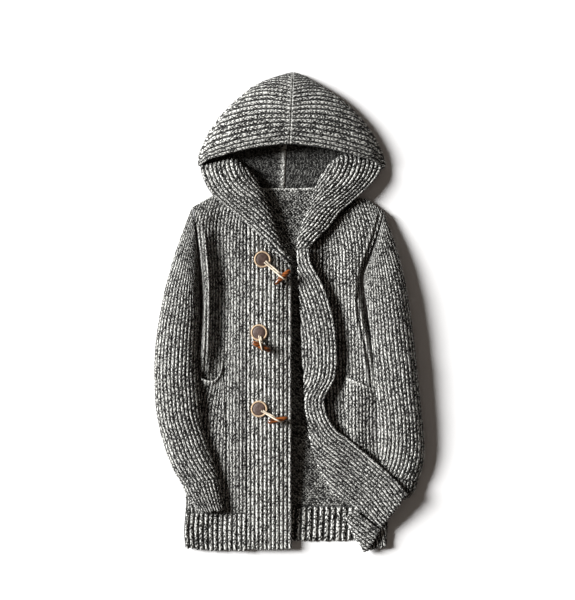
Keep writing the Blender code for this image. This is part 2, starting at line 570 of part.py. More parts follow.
def hood(name, rows, side, turnback):
    columns = 2 * HOOD_RIBS + 1
    outer = hood_sections(rows, side, 0.0, columns)
    inner = hood_sections(rows, side, WALL, 12)
    outer[:6, :, 2] += ribs(HOOD_RIBS, columns)
    shell = wall(name, outer, inner)
    edge = folded(name + "_turnback", turnback, 12, TURNBACK_RIBS)
    parts.objects.unlink(edge)
    helpers.objects.link(edge)
    edge.hide_render = True
    edge.display_type = "WIRE"
    joined = shell.modifiers.new("turned edge", "BOOLEAN")
    joined.operation = "UNION"
    joined.solver = "EXACT"
    joined.object = edge
    return shell


# ---------------------------------------------------------------- toggles
def placket_height(x, y):
    """Height of the ribbed face of the left placket at one grid point."""
    place = millimetres([(x, y, 0)])[0]
    return height_at(surface(PLACKET_LEFT, 40, 19), place[0], place[1]) + WALL / 2 + RIB


def disc(name, x, y):
    """A round of leather that follows the placket."""
    height = placket_height(x, y) + DISC_LIFT
    centre = millimetres([(x, y, height)])[0]
    bpy.ops.mesh.primitive_cylinder_add(
        vertices=28, radius=DISC_RADIUS / 1000, depth=DISC_THICKNESS / 1000, location=centre / 1000
    )
    thing = bpy.context.object
    tilt = placket_height(x + 5, y) - placket_height(x - 5, y)
    thing.rotation_euler = (0, -np.arctan2(tilt, 10 * STEP * 1000), 0)
    bevel = thing.modifiers.new("edge", "BEVEL")
    bevel.width = 0.0005
    bevel.segments = 1
    return claim(thing, name, LEATHER, 0.45)


def claim(thing, name, colour, roughness):
    """Names an object made by an operator and moves it to the parts collection."""
    thing.name = name
    thing.data.name = name
    for collection in list(thing.users_collection):
        collection.objects.unlink(thing)
    parts.objects.link(thing)
    thing.data.materials.clear()
    thing.data.materials.append(material(name, colour, roughness))
    return thing


def toggle_ends(row):
    """Both ends of a toggle and its middle, in millimetres."""
    middle_x = (row[2] + row[4]) / 2
    middle_y = (row[3] + row[5]) / 2
    height = placket_height(min(middle_x, 286), middle_y) + TOGGLE_DIAMETER / 2 + CORD_DIAMETER + 1.6
    ends = millimetres([(row[2], row[3], height), (row[4], row[5], height)])
    return ends[0], ends[1], ends.mean(axis=0)


def toggle(name, row):
    """A round bar that is thickest in the middle, with rounded ends."""
    first, last, middle = toggle_ends(row)
    half = [(0.0, 0.0), (0.02, 0.42), (0.08, 0.68), (0.3, 0.93)]
    profile = half + [(0.5, 1.0)] + [(1 - share, wide) for share, wide in reversed(half)]
    mesh = bpy.data.meshes.new(name)
    radius = TOGGLE_DIAMETER / 2000
    points = [(wide * radius, 0, (share - 0.5) * TOGGLE_LENGTH / 1000) for share, wide in profile]
    mesh.from_pydata(points, [(index, index + 1) for index in range(len(points) - 1)], [])
    thing = bpy.data.objects.new(name, mesh)
    bpy.context.scene.collection.objects.link(thing)
    spin = thing.modifiers.new("round", "SCREW")
    spin.steps = spin.render_steps = 14
    spin.use_merge_vertices = True
    spin.merge_threshold = 0.0001
    spin.use_normal_flip = True
    thing.location = Vector(middle / 1000)
    direction = Vector((last - first) / 1000)
    thing.rotation_mode = "QUATERNION"
    thing.rotation_quaternion = direction.to_track_quat("Z", "Y")
    return claim(thing, name, HORN, 0.25)


def toggle_cord(name, row):
    """The cord from the disc to the middle of its toggle, where it passes below the bar."""
    middle = toggle_ends(row)[2]
    base = millimetres([(row[0], row[1], placket_height(row[0], row[1]))])[0]
    start = base + (0, 0, DISC_LIFT + DISC_THICKNESS / 2 + CORD_DIAMETER / 2 + 1.7)
    end = middle - (0, 0, TOGGLE_DIAMETER / 2 + CORD_DIAMETER / 2 + 0.5)
    half = (start + end) / 2 + (0, 0, 0.6)
    curve = bpy.data.curves.new(name, "CURVE")
    curve.dimensions = "3D"
    curve.bevel_depth = CORD_DIAMETER / 2000
    curve.bevel_resolution = 2
    curve.use_fill_caps = True
    line = curve.splines.new("POLY")
    points = even(np.stack([start, half, end]), 6)
    line.points.add(len(points) - 1)
    for point, place in zip(line.points, points):
        point.co = (*(place / 1000), 1.0)
    thing = bpy.data.objects.new(name, curve)
    bpy.context.scene.collection.objects.link(thing)
    return claim(thing, name, CORD, 0.8)


# ---------------------------------------------------------------- the cardigan
for old in list(bpy.data.objects):
    bpy.data.objects.remove(old, do_unlink=True)

parts = bpy.data.collections.new("hooded cardigan")
helpers = bpy.data.collections.new("cutters")
bpy.context.scene.collection.children.link(parts)
bpy.context.scene.collection.children.link(helpers)
helpers.hide_render = True

panel("back", BACK, 14, 11)
panel("hem_back", HEM_BACK, 3, 0, rib_count=HEM_BACK_RIBS, under_across=9)
panel("front_left", FRONT_LEFT, 17, 11)
panel("placket_left", PLACKET_LEFT, 14, 0, rib_count=PLACKET_RIBS, ribbed_under=True)
panel("hem_left", HEM_LEFT, 4, 0, rib_count=HEM_LEFT_RIBS, under_across=9)
panel("front_right", FRONT_RIGHT, 17, 11)
folded("placket_right", PLACKET_RIGHT_TURNED, 22, PLACKET_RIBS)
folded("hem_right", HEM_RIGHT_TURNED, 5, HEM_RIGHT_RIBS)
sleeve("sleeve_left", SLEEVE_LEFT)
sleeve("sleeve_right", SLEEVE_RIGHT)
cuff("cuff_left", CUFF_LEFT)
cuff("cuff_right", CUFF_RIGHT)
hood("hood_left", HOOD_LEFT, -1, TURNBACK_LEFT)
hood("hood_right", HOOD_RIGHT, 1, TURNBACK_RIGHT)
pocket("pocket_left", POCKET_LEFT, surface(FRONT_LEFT, 17, 11), 8, 7)
pocket("pocket_right", POCKET_RIGHT, surface(FRONT_RIGHT, 17, 11), 8, 7)
for number, spot in enumerate(TOGGLES, 1):
    disc(f"patch_{number}", spot[0], spot[1])
    toggle_cord(f"toggle_cord_{number}", spot)
    toggle(f"toggle_{number}", spot)
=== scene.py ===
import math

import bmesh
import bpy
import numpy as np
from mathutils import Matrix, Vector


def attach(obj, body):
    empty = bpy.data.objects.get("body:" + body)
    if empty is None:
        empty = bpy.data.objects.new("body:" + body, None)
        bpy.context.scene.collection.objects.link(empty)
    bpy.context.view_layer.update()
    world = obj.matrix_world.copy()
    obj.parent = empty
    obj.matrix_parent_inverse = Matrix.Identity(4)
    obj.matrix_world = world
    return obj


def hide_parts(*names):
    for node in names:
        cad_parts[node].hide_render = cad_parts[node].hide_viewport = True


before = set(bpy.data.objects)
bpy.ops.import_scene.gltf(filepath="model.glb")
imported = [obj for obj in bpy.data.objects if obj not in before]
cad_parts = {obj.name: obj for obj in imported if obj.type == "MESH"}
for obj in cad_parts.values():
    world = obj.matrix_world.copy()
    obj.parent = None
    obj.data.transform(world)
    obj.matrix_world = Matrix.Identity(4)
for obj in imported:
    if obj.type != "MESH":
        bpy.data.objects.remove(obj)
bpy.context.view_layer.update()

# Hooded cardigan in chunky marled rib knit, lying on its back with one front turned open.
#
# The plan is drawn on a grid: x runs to the right of the layout, y runs down from the crown of the hood,
# and one step of the grid is STEP metres. Heights in the tables are in millimetres above the surface that
# the cardigan lies on. Every cloth piece is a thin wall around a smooth surface through a table of knots.

bl_info = {
    "name": "Hooded cardigan",
    "version": (1, 0, 0),
    "blender": (4, 5, 0),
    "location": "View3D > Sidebar > Cardigan",
    "description": "Chunky marled rib-knit cardigan with a hood and toggles, laid flat",
    "category": "Add Mesh",
}

STEP = 0.0021
MIDDLE_X = 289.4
MIDDLE_Y = 311.7
GAP = 0.16  # half of the space at a seam, grid steps
NECK_REACH = 0.5  # how far the back passes its first row of knots, grid steps
UP = np.array([0.0, 0.0, 1.0])
SIDES = ("left", "right", "start", "end")

# Metres
ROUND_EDGE = 0.0026  # over which a wall is rounded off at its edge
BUTTED_EDGE = 0.0008  # the same, where two pieces meet edge to edge
SEAM_SHADE_WIDTH = 0.0022  # width of the painted shade along a seam
SEAM_WELT = 0.0042  # width of the raised line at a seam
POCKET_HEIGHT = 0.0057  # of a pocket's middle surface over its panel's
ROPE_STEP = 0.0008  # spacing of the rings of a cord's mesh
FLOOR_REACH = 6
FLOOR_DROP = 0.0004
KEY_DISTANCE = 4.2
CAMERA_HEIGHT = 6.0

# Shares and counts
PANEL_RIB = 0.62  # height of a panel's ribs, as a share of a band's
LEG_LEAN = 0.9  # courses that a stitch's leg climbs from the middle of its wale to the side
FINE_POINTS = 240  # points that stand for a smooth line while it is divided evenly
HOOD_COLUMNS = 111
HOOD_POINTS = 190
STRANDS = 3  # of a cord

# The lamp, in degrees, the camera's sensor in millimetres, and the camera's view in grid steps
KEY_SPREAD = 25
KEY_ELEVATION = 25.5
KEY_AZIMUTH = 165
SENSOR = 36
PICTURE_WIDTH = 575
PICTURE_HEIGHT = 600

# ---------------------------------------------------------------- sections
# Each row is one section of a piece. The comment over a table names its knots or columns in order. A knot
# is (grid x, grid y, mm), or (grid x, grid y) where the whole piece lies at one height.

BACK_HEIGHT = 2
# side edge | outer third | inner third | middle, and the same again to the right side edge
BACK = [
    [(192.6, 207.4), (222, 192), (258, 189), (291, 188.8), (324, 189), (361, 198), (383.4, 211.4)],
    [(195.8, 229), (226, 226), (264, 226), (291, 226), (318, 226), (352, 226), (378, 229)],
    [(199.2, 255), (228, 254), (264, 254), (291, 254), (318, 254), (348, 254), (368.6, 256)],
    [(200.8, 282), (230, 282), (264, 282), (291, 282), (318, 282), (344, 282), (361.4, 279)],
    [(200.4, 316), (228, 316), (264, 316), (291, 316), (318, 316), (348, 316), (366.6, 316)],
    [(195.5, 354), (226, 354), (264, 354), (291, 354), (318, 354), (350, 354), (376, 354)],
    [(190, 396), (224, 396), (264, 396), (291, 396), (318, 396), (352, 396), (383, 396)],
    [(187, 450), (222, 450), (264, 450), (291, 450), (318, 450), (354, 450), (387, 450)],
    [(185.6, 506), (221, 506), (264, 506), (291, 506), (318, 506), (354, 506), (388.5, 506)],
]

# left side edge | left third | right third | right side edge
HEM_BACK = [
    [(185.6, 506.3), (252, 506.3), (321, 506.3), (388.5, 506.3)],
    [(185.2, 522), (252, 522), (321, 522), (387.8, 522)],
    [(185.5, 539.5), (252, 540.5), (321, 539.5), (386.4, 538.5)],
]

# armhole, then side edge | trough beside the sleeve | crest | placket seam
FRONT_LEFT = [
    [(192.8, 207.2, 8), (204, 201.4, 9), (222, 193.4, 10), (234, 203, 12), (246.8, 217.4, 13)],
    [(195.8, 225, 17), (202, 223.6, 19), (220, 222, 12), (234, 225, 17), (246.8, 232, 19)],
    [(199.0, 250, 21), (204.4, 249, 23.5), (221, 248, 8.6), (235, 249, 20), (246.8, 252, 24)],
    [(200.4, 270, 19), (205.8, 270, 24), (223, 270, 6.8), (237, 270, 21), (246.8, 272, 26)],
    [(200.9, 288, 11), (206.2, 289, 24), (224, 291, 6.8), (238, 294, 23), (246.8, 296, 27)],
    [(200.6, 316, 6.8), (206.2, 316, 23), (224, 316, 6.8), (238, 318, 24), (246.8, 320, 28)],
    [(195.9, 354, 6.5), (204.4, 354, 20), (222, 354, 7.4), (237, 354, 24), (246.8, 354, 28)],
    [(193.4, 372, 6.5), (203.6, 372, 14), (221, 372, 8.6), (236, 372, 24), (246.8, 372, 28)],
    [(190, 396, 6.5), (205, 396, 8), (220, 396, 11.5), (235, 396, 26), (246.8, 397, 27)],
    [(187, 440, 6.5), (206, 440, 8), (222, 440, 12), (235, 440, 25), (246.8, 440, 25)],
    [(186, 478, 6.9), (208, 478, 7), (224, 478, 9), (236, 478, 19), (246.8, 478, 22)],
    [(185.6, 512.7, 7.9), (207, 512.7, 7.9), (224, 512.7, 9), (236, 512.7, 13), (246.8, 512.7, 17)],
]

# placket seam | inner third | outer third | free edge
PLACKET_LEFT = [
    [(247.1, 219, 14.5), (262, 235, 16), (277, 251, 15.5), (291.4, 266, 13)],
    [(247.1, 240, 21), (262, 250, 22), (277, 261, 21), (291.7, 272, 17)],
    [(247.1, 263, 25), (262, 268, 26.5), (277, 274, 26), (291.8, 281, 22)],
    [(247.1, 300, 27), (262, 302, 29), (277, 304, 29.5), (292, 306, 26)],
    [(247.1, 350, 27), (262, 350, 29.5), (277, 350, 30), (292, 350, 27)],
    [(247.1, 400, 26), (262, 400, 28.5), (277, 400, 29), (292, 400, 26)],
    [(247.1, 450, 24), (262, 450, 25.5), (277, 450, 26), (292, 450, 23)],
    [(247.1, 500, 18.5), (262, 500, 20), (277, 500, 20), (292, 500, 17)],
    [(247.1, 548.5, 13), (262, 549, 13.4), (277, 549, 13.4), (292, 548.5, 12)],
]

# side edge | under the cuff | crest | placket seam
HEM_LEFT = [
    [(185.6, 513, 7.9), (207, 513, 7.9), (224, 513, 9), (236, 513, 13), (246.8, 513, 17)],
    [(184.2, 530, 7.9), (206, 530, 7.9), (224, 530, 8.5), (236, 530, 11.4), (246.8, 530, 15)],
    [(185.4, 546.5, 7.9), (206, 548.5, 7.9), (224, 549, 8.2), (236, 549, 9.8), (246.8, 549, 13)],
]

# placket seam | trough | crest | valley at the sleeve | armhole, then side edge
FRONT_RIGHT = [
    [(323.2, 235.5, 10), (336, 221, 11), (350, 207.5, 11), (361, 198.6, 10), (383, 211.2, 8)],
    [(323.2, 248, 10.5), (336, 238, 13), (350, 230, 16), (363, 225, 17), (379.4, 227, 13)],
    [(323.2, 262, 10.5), (335, 257, 13), (347, 252, 18), (359, 248, 20), (371.2, 250, 13)],
    [(323.2, 285, 10.5), (334, 282, 11), (345, 279, 18), (355, 277, 21), (361.4, 275.5, 8)],
    [(323.4, 316, 10.5), (336, 316, 10.5), (348, 316, 16), (358, 316, 21), (366.4, 316, 6.5)],
    [(324.2, 354, 10.5), (339, 354, 10.5), (353, 354, 18), (367, 354, 21), (376, 354, 6.5)],
    [(326, 396, 10.5), (341, 396, 10.5), (354, 396, 18), (368, 396, 14), (383, 396, 6.5)],
    [(328.2, 430, 10.5), (342, 430, 10.5), (355, 430, 17), (368, 430, 12), (385.6, 430, 6.5)],
    [(331, 462, 10), (343, 462, 9.5), (356, 462, 10.5), (368, 462, 8), (387.4, 462, 6.5)],
    [(336.6, 484.5, 10), (347, 484.5, 9), (358, 484.5, 8.2), (369, 484.5, 7.8), (388.2, 484.5, 7.4)],
    [(356.6, 509, 9.5), (362, 509, 9), (368, 509, 8.6), (376, 509, 8.4), (388.6, 509, 8.2)],
]

# placket seam | under the fold | at the fold, low | outermost | at the fold, high | two thirds | free edge
PLACKET_RIGHT_TURNED = [
    [(322.2, 237, 10.5), (313, 244, 11), (304, 249.6, 11), (298.4, 249.5, 16), (301.2, 249.4, 21),
     (305, 249.3, 24.4), (309.6, 249.2, 25.4)],
    [(322.2, 258, 10.5), (312, 260, 11), (303, 262, 11), (298.6, 262.5, 16), (302, 262, 21),
     (306, 261.5, 25), (311, 260.5, 26)],
    [(322.2, 285, 10.5), (312, 286, 11), (304, 287, 11), (300, 287.5, 16), (304, 287, 21), (313, 286, 25),
     (323, 284.5, 26)],
    [(322.4, 316, 10.5), (313, 316, 11), (306, 316, 11), (301.6, 316, 16), (306, 316, 21),
     (319, 315, 27.5), (332.5, 314, 27.5)],
    [(323, 350, 10.5), (314, 350, 11), (307.5, 350, 11), (303.2, 350, 16), (307.5, 350, 21),
     (322, 350, 28.5), (337, 350, 29)],
    [(324, 378, 10.5), (315, 378, 11), (309, 378, 11), (304.8, 378, 16), (309, 378, 21), (322, 378, 28),
     (335, 378, 28.5)],
    [(325, 400, 10.5), (316, 401, 11), (310.5, 401, 11), (306, 401, 16), (310.5, 401, 21), (318, 400, 25),
     (325, 399, 26)],
    [(326, 420, 10.5), (318, 421, 11), (312.5, 421, 11), (308.2, 421, 16), (312.5, 420.5, 21),
     (320, 418.5, 25), (328.5, 417, 25)],
    [(327.4, 444, 10.5), (321, 444, 11), (316, 443, 11), (311.6, 441.5, 16), (316, 440, 21),
     (327, 436, 25.5), (338, 430.5, 25)],
    [(328.6, 463, 10.5), (324, 462, 11), (320.6, 460.5, 11), (316.6, 458, 16), (321, 455, 21),
     (333, 448, 25.5), (347, 437, 26)],
    [(329.6, 474, 10.5), (327, 473.5, 11), (325.6, 473, 11), (321.6, 471.5, 16), (326, 467.5, 21),
     (341, 456, 25.5), (357, 445, 27)],
    [(333, 485.4, 10.5), (331.8, 485.2, 11), (331, 484.8, 11.5), (328, 483, 16), (332, 479, 21),
     (350, 466, 25), (367, 453.5, 28)],
    [(344, 498.8, 10.5), (343.2, 498.6, 11), (342.4, 498, 11.5), (339.4, 496, 16), (343.4, 492, 21),
     (361, 479, 25), (380, 464.5, 31)],
    [(354, 506, 15.5), (355.4, 504.6, 17), (357.4, 502.8, 18.6), (360.6, 500.2, 20.5), (364.6, 497, 22.4),
     (378, 486.5, 27), (394, 477, 32)],
    [(379.8, 527, 20), (381.4, 525, 20.6), (383.6, 522.4, 21.4), (386.4, 519, 22.6), (390, 514.4, 24.2),
     (398, 503.5, 28), (406.4, 492, 30)],
]

# side edge | under the turned part | at the fold, low | outermost | at the fold, high | middle of the
# turned part | placket seam
HEM_RIGHT_TURNED = [
    [(388.6, 509.6, 9.6), (368, 511.2, 9.6), (351, 513.4, 9.8), (345.4, 516, 13.2), (347.6, 515, 17.2),
     (350.4, 511.6, 18.4), (353.2, 507.6, 18.4)],
    [(387.6, 527, 9.6), (373, 529, 9.6), (360, 532, 9.8), (354.6, 534.6, 13.6), (358.4, 530.6, 18),
     (362.6, 524.6, 19.2), (366.6, 518, 19.8)],
    [(386.2, 545.4, 9.4), (378.6, 546.8, 9.4), (370, 549, 9.4), (364.8, 550.8, 12.8), (369, 546.4, 17.2),
     (374.4, 537.4, 19.4), (379.4, 528.2, 20.4)],
]

# The two halves of the hood meet at the centre seam. One row for each distance from the face edge:
# left outline x, y | right outline x, y | seam y, upper layer | height of the ridge | seam y, lower layer
HOOD = [
    (197.6, 165, 385.6, 167, 145.2, 45, 188.2),
    (198.8, 156, 383.4, 156.5, 134.4, 47, 172),
    (203.6, 142.5, 377.4, 142.5, 122, 46, 156),
    (211.2, 128.8, 369, 128.5, 109, 42, 140),
    (221.6, 114.6, 357.6, 114.4, 96.4, 35, 124),
    (236, 100.2, 341, 99, 84.6, 27, 107),
    (256.4, 84.8, 319, 84.6, 76.4, 18, 90),
    (285.4, 74, 300.4, 74.2, 72.4, 8.8, 76),
]
HOOD_SEAM_X = 289.6  # at the face edge of the hood
HOOD_SEAM_LEAN = 0.052  # grid steps to the right for each step up the seam

# neck seam | under the roll | roll | top of the roll | middle | free edge
TURNBACK_LEFT = [
    [(236, 176, 4), (238, 168, 4), (237, 161, 4.2), (232, 158, 4.4), (218, 161, 4.4), (201.5, 165, 4)],
    [(240, 186, 7), (243, 175, 12), (241, 165.5, 19), (234, 164, 22), (219, 167.5, 21), (201, 170, 12)],
    [(243.5, 193, 8), (249, 183, 13), (250.5, 173.5, 20), (245, 172.5, 26), (228, 179, 28),
     (205.6, 183.5, 17)],
    [(248, 201, 8), (255, 192, 14), (257.6, 184, 21), (252, 182.5, 28), (235, 189.5, 30), (213, 195.4, 20)],
    [(253.5, 210, 8), (261, 203, 14), (264, 197, 21), (258.5, 195, 28), (244, 201.5, 30), (226, 206.2, 22)],
    [(259, 220, 8), (266, 215, 15), (269, 210.5, 21), (264, 209, 27), (253, 213, 29), (239, 217, 22)],
    [(266, 232, 8), (271.5, 229, 15), (273.8, 225.5, 20), (269.5, 225, 26), (262, 227, 27),
     (252, 229.2, 22.5)],
    [(274.5, 244.5, 8), (277.6, 243, 14), (278.8, 240.5, 19), (276, 240, 25), (271.5, 241, 27),
     (265.5, 242.4, 25.5)],
    [(284.5, 256.5, 9), (285.8, 255.8, 13), (286.4, 254.8, 17), (284.8, 254.2, 22.4), (282, 255, 24.6),
     (278.4, 256.4, 24.4)],
    [(290.6, 262.6, 11), (291.6, 262, 14), (292, 261, 17), (291, 260.6, 21), (289, 261.6, 23),
     (286.6, 263.6, 23)],
]
TURNBACK_RIGHT = [
    [(340, 172, 4), (338, 166, 4), (338, 158, 4.2), (344, 155.5, 4.4), (360, 157, 4.4), (381, 163, 4)],
    [(338, 184, 7), (332.5, 174, 12), (332, 164, 19), (338, 161.5, 22), (356, 162.5, 21), (382, 166.5, 12)],
    [(336, 192, 8), (328, 184, 13), (323.5, 174.5, 20), (329, 172.5, 26), (349, 175, 28), (378, 176, 17)],
    [(333, 203, 8), (323, 197, 14), (316.5, 188.5, 21), (322, 186, 28), (341, 188, 30), (368, 187.5, 20)],
    [(327, 213, 8), (318, 209, 14), (311.8, 203, 21), (317, 200.5, 28), (332, 200.5, 30), (354, 200.5, 22)],
    [(322, 222, 8), (313, 219.5, 15), (307.6, 215, 21), (312.6, 212.5, 27), (325, 212, 29),
     (341, 211, 22.5)],
    [(315, 232.5, 8), (307, 231, 15), (302, 228, 20), (307, 226.5, 26), (318, 226, 27), (330, 226, 22.5)],
    [(308, 240, 9), (302.5, 239.5, 14), (299, 238, 18), (302.6, 237.4, 23), (310, 237.5, 24.5),
     (318.5, 238.2, 23)],
    [(303.8, 248.6, 10.4), (300.6, 249, 13), (298.4, 249, 16.6), (300.8, 248.9, 20.8), (305, 248.9, 24),
     (309.6, 248.8, 25)],
]

# Sections of a sleeve: outer outline x, y | inner boundary x, y | bow of the section | height of the
# crest | height at the outline | height at the inner boundary | height of what lies under the inner
# part | share of the section at which it has climbed onto it
SLEEVE_LEFT = [
    (192.2, 207.6, 200.2, 286.6, 1.2, 26, 9, 9, 1, 0.9),
    (187, 221, 200.5, 291, 1, 31, 12, 10, 1, 0.9),
    (178, 246, 200.4, 299, 0.6, 37, 14, 11, 1, 0.9),
    (168.5, 277, 200, 312, 0, 40, 14, 12, 1, 0.9),
    (161.5, 309, 198.8, 330, 0, 41, 14, 13, 1, 0.9),
    (156.2, 345, 197, 354, 0, 41, 14, 15, 9.4, 0.94),
    (155.2, 385, 199.6, 384, 0, 41, 14, 19, 14.8, 0.72),
    (157.6, 415, 201, 409, 0, 40, 14, 21, 15.4, 0.62),
    (162.4, 437, 203.4, 428, 0, 39, 15, 21, 16.4, 0.53),
    (169.6, 459, 209, 447.6, 0, 38, 17, 21, 16.4, 0.38),
    (176.4, 473.5, 214.6, 463.4, 0, 37, 19, 21, 16.4, 0.2),
    (183, 484.6, 218.4, 477.2, 0, 36, 21, 21, 16.4, 0.02),
]
CUFF_LEFT = [
    (183.3, 485.2, 218.6, 477.8, 0, 36, 21, 21, 16.4, 0.02),
    (188, 495, 221, 489.2, 0, 34, 21, 21, 16.4, -0.2),
    (200.6, 512, 223.6, 508, 0, 32, 21, 21, 16.4, -0.4),
]
SLEEVE_RIGHT = [
    (383.8, 211.8, 363, 275.2, 1.6, 24, 9, 9, 1, 0.9),
    (388.4, 226, 363.2, 282, 1.2, 30, 12, 10, 1, 0.9),
    (396.6, 250, 364.8, 294, 0.6, 36, 14, 11, 1, 0.9),
    (404, 279, 367.4, 309, 0, 40, 14, 14, 2, 0.9),
    (410, 314, 370.4, 331, 0, 41, 14, 18, 10, 0.9),
    (415, 354, 373.4, 360, 0, 41, 14, 20, 14, 0.84),
    (419, 394, 375.6, 390, 0, 40, 14, 20, 15, 0.8),
    (422.2, 424, 377.2, 417, 0, 38, 13, 20, 15, 0.8),
    (423.8, 447, 378.4, 440, 0, 35, 12, 19.6, 15, 0.78),
    (422, 467, 379.2, 459, 0, 30.4, 11, 19, 14.6, 0.76),
    (417, 481, 379.6, 474, 0, 26, 10, 18.6, 14.4, 0.72),
]
CUFF_RIGHT = [
    (416.7, 481.8, 379.5, 474.8, 0, 26, 10, 18.6, 14.4, 0.72),
    (414.4, 490, 379.8, 486, 0, 24.2, 9, 18.4, 14.2, 0.68),
    (408, 497.6, 380.6, 499, 0, 22.4, 9, 18.4, 14, 0.6),
]

# Raised lines along an armhole, in plan, and soft creases: half width in mm, height in mm, line in plan
WELT_WIDTHS = (4.4, 2.6, 4.0)
ARMHOLE_LEFT = [
    (194.8, 214), (197.6, 229), (201, 248), (203, 268), (204, 290), (204.4, 316), (203.4, 344), (202.6, 370)
]
ARMHOLE_RIGHT = [
    (382, 215), (377, 234), (369, 257), (362, 279), (359.4, 300), (362, 322), (367.6, 345), (372, 368),
    (373.6, 386),
]
CREASES_LEFT = [
    (9, -2.0, [(214, 240), (217, 300), (215, 352)]),
    (4.5, -2.4, [(246, 236), (246, 440)]),
]
CREASES_RIGHT = [
    (3, 1.4, [(348, 262), (356, 266)]),
    (3, -1.2, [(347, 266), (357, 271)]),
    (3, 1.4, [(350, 274), (358, 276)]),
    (9, -2.4, [(341, 300), (345, 330), (347, 362)]),
]

# Patch pockets, in plan: side under the sleeve | middle | side towards the placket
POCKET_LEFT = [
    [(201.4, 377.4), (207, 379.8), (213.5, 380.4), (219.5, 374), (223, 361)],
    [(195.4, 402), (205, 402), (213, 402), (220, 400), (225, 396)],
    [(192, 440), (205, 440), (213, 440), (220, 440), (226, 440)],
    [(190.6, 475), (205, 475), (213, 475), (220, 475), (226.6, 475)],
    [(190, 507), (205, 507), (213, 507), (221, 507), (227, 507)],
]
POCKET_RIGHT = [
    [(345.4, 376.8), (353, 379.8), (361, 383.2), (368, 386.4), (375.6, 388.8)],
    [(345.4, 404), (353, 404), (361, 404), (369, 404), (377.6, 404)],
    [(345.4, 430), (353, 430), (361, 430), (369, 430), (381, 430)],
    [(347, 458), (354, 458), (362, 458), (370, 458), (382, 458)],
    [(355, 490), (360, 490), (366, 490), (372, 490), (382, 490)],
]

# Toggles: disc x, y | first end x, y | second end x, y
TOGGLES = [
    (262.6, 259.6, 275.6, 284, 290, 270.6),
    (259.4, 332.4, 252.6, 341.6, 271.4, 350.8),
    (259.4, 408.4, 268.4, 421.4, 288, 417),
]
# From the middle of the upper side to the middle of the underside: share of the disc's radius, metres
DISC_PROFILE = [
    (0, 0.0033), (0.4, 0.0032), (0.75, 0.0028), (0.93, 0.0021), (1, 0.0012), (0.97, 0.0004), (0.6, 0.0004),
    (0, 0.0004),
]
# From a toggle's middle to its end: share of half its length, share of half its width
HORN_PROFILE = [(0, 1), (0.25, 0.97), (0.6, 0.84), (0.88, 0.60), (0.97, 0.36), (1, 0)]
# Where the cord passes round the toggle, in degrees from the side that is away from the disc
LOOP_DEGREES = (200, 250, 300, 350, 40, 90, 130)


# ---------------------------------------------------------------- settings
def colour_setting(name, description, default):
    return bpy.props.FloatVectorProperty(
        name=name, description=description, subtype="COLOR", size=4, min=0, max=1, default=default
    )


def size_setting(name, description, default):
    return bpy.props.FloatProperty(
        name=name, description=description, unit="LENGTH", default=default, min=0, precision=4
    )


def strength_setting(name, description, default):
    return bpy.props.FloatProperty(name=name, description=description, default=default, min=0)


class KnitSettings(bpy.types.PropertyGroup):
    wall: size_setting("Thickness", "Thickness of the knit between its ribs", 0.004)
    rib: size_setting("Rib height", "Height of a rib over the valley beside it", 0.0022)
    wale: size_setting("Body wale", "Width of one column of stitches on the panels", 0.0074)
    sleeve_wale: size_setting("Sleeve wale", "Width of one column of stitches on the sleeves", 0.0075)
    turned_wale: size_setting("Turned wale", "Width of one rib on the turned front band", 0.0076)
    hood_wale: size_setting("Hood wale", "Width of one rib on the hood", 0.0090)
    course: size_setting("Course", "Length of one stitch along its column", 0.0082)
    mesh_across: size_setting("Mesh across", "Spacing of the mesh across the ribs", 0.0016)
    mesh_along: size_setting("Mesh along", "Spacing of the mesh along the ribs", 0.0019)
    light_yarn: colour_setting("Light ply", "Light ply of the marled yarn", (0.90, 0.905, 0.865, 1))
    dark_yarn: colour_setting("Dark ply", "Dark ply of the marled yarn", (0.014, 0.013, 0.012, 1))


class ToggleSettings(bpy.types.PropertyGroup):
    disc: size_setting("Disc radius", "Radius of a leather disc inside its edging", 0.0142)
    edging: size_setting("Edging", "Thickness of the thread around a leather disc", 0.0042)
    cord: size_setting("Cord", "Thickness of a toggle's cord", 0.0034)
    length: size_setting("Toggle length", "Length of a toggle", 0.044)
    width: size_setting("Toggle width", "Width of a toggle at its middle", 0.0132)
    leather: colour_setting("Leather", "Colour of the discs", (0.060, 0.036, 0.028, 1))
    thread: colour_setting("Edging thread", "Colour of the thread around the discs", (0.58, 0.42, 0.27, 1))
    cord_colour: colour_setting("Cord colour", "Colour of the toggles' cords", (0.74, 0.64, 0.50, 1))
    horn: colour_setting("Horn", "Colour of the toggles", (0.27, 0.078, 0.018, 1))


class StageSettings(bpy.types.PropertyGroup):
    floor: colour_setting("Floor", "Colour of the floor", (0.93, 0.93, 0.93, 1))
    key: strength_setting("Key light", "Strength of the soft light from the left", 9.1)
    fill: strength_setting("Fill light", "Strength of the light from all round", 0.080)


class CardiganSettings(bpy.types.PropertyGroup):
    knit: bpy.props.PointerProperty(type=KnitSettings)
    toggles: bpy.props.PointerProperty(type=ToggleSettings)
    stage: bpy.props.PointerProperty(type=StageSettings)


def settings():
    """The sizes and colours of this scene's cardigan."""
    return bpy.context.scene.cardigan


# ---------------------------------------------------------------- curves and surfaces
def smooth(stations, values, at):
    """Values of a smooth curve through `values` at `stations`, read at `at`."""
    stations = np.asarray(stations, float)
    values = np.asarray(values, float)
    slopes = np.gradient(values, stations, axis=0)
    low = np.clip(np.searchsorted(stations, at, side="right") - 1, 0, len(stations) - 2)
    span = stations[low + 1] - stations[low]
    part = (np.asarray(at, float) - stations[low]) / span
    shape = (-1,) + (1,) * (values.ndim - 1)
    span = span.reshape(shape)
    part = part.reshape(shape)
    start = (2 * part**3 - 3 * part**2 + 1) * values[low]
    start += (part**3 - 2 * part**2 + part) * span * slopes[low]
    end = (3 * part**2 - 2 * part**3) * values[low + 1] + (part**3 - part**2) * span * slopes[low + 1]
    return start + end


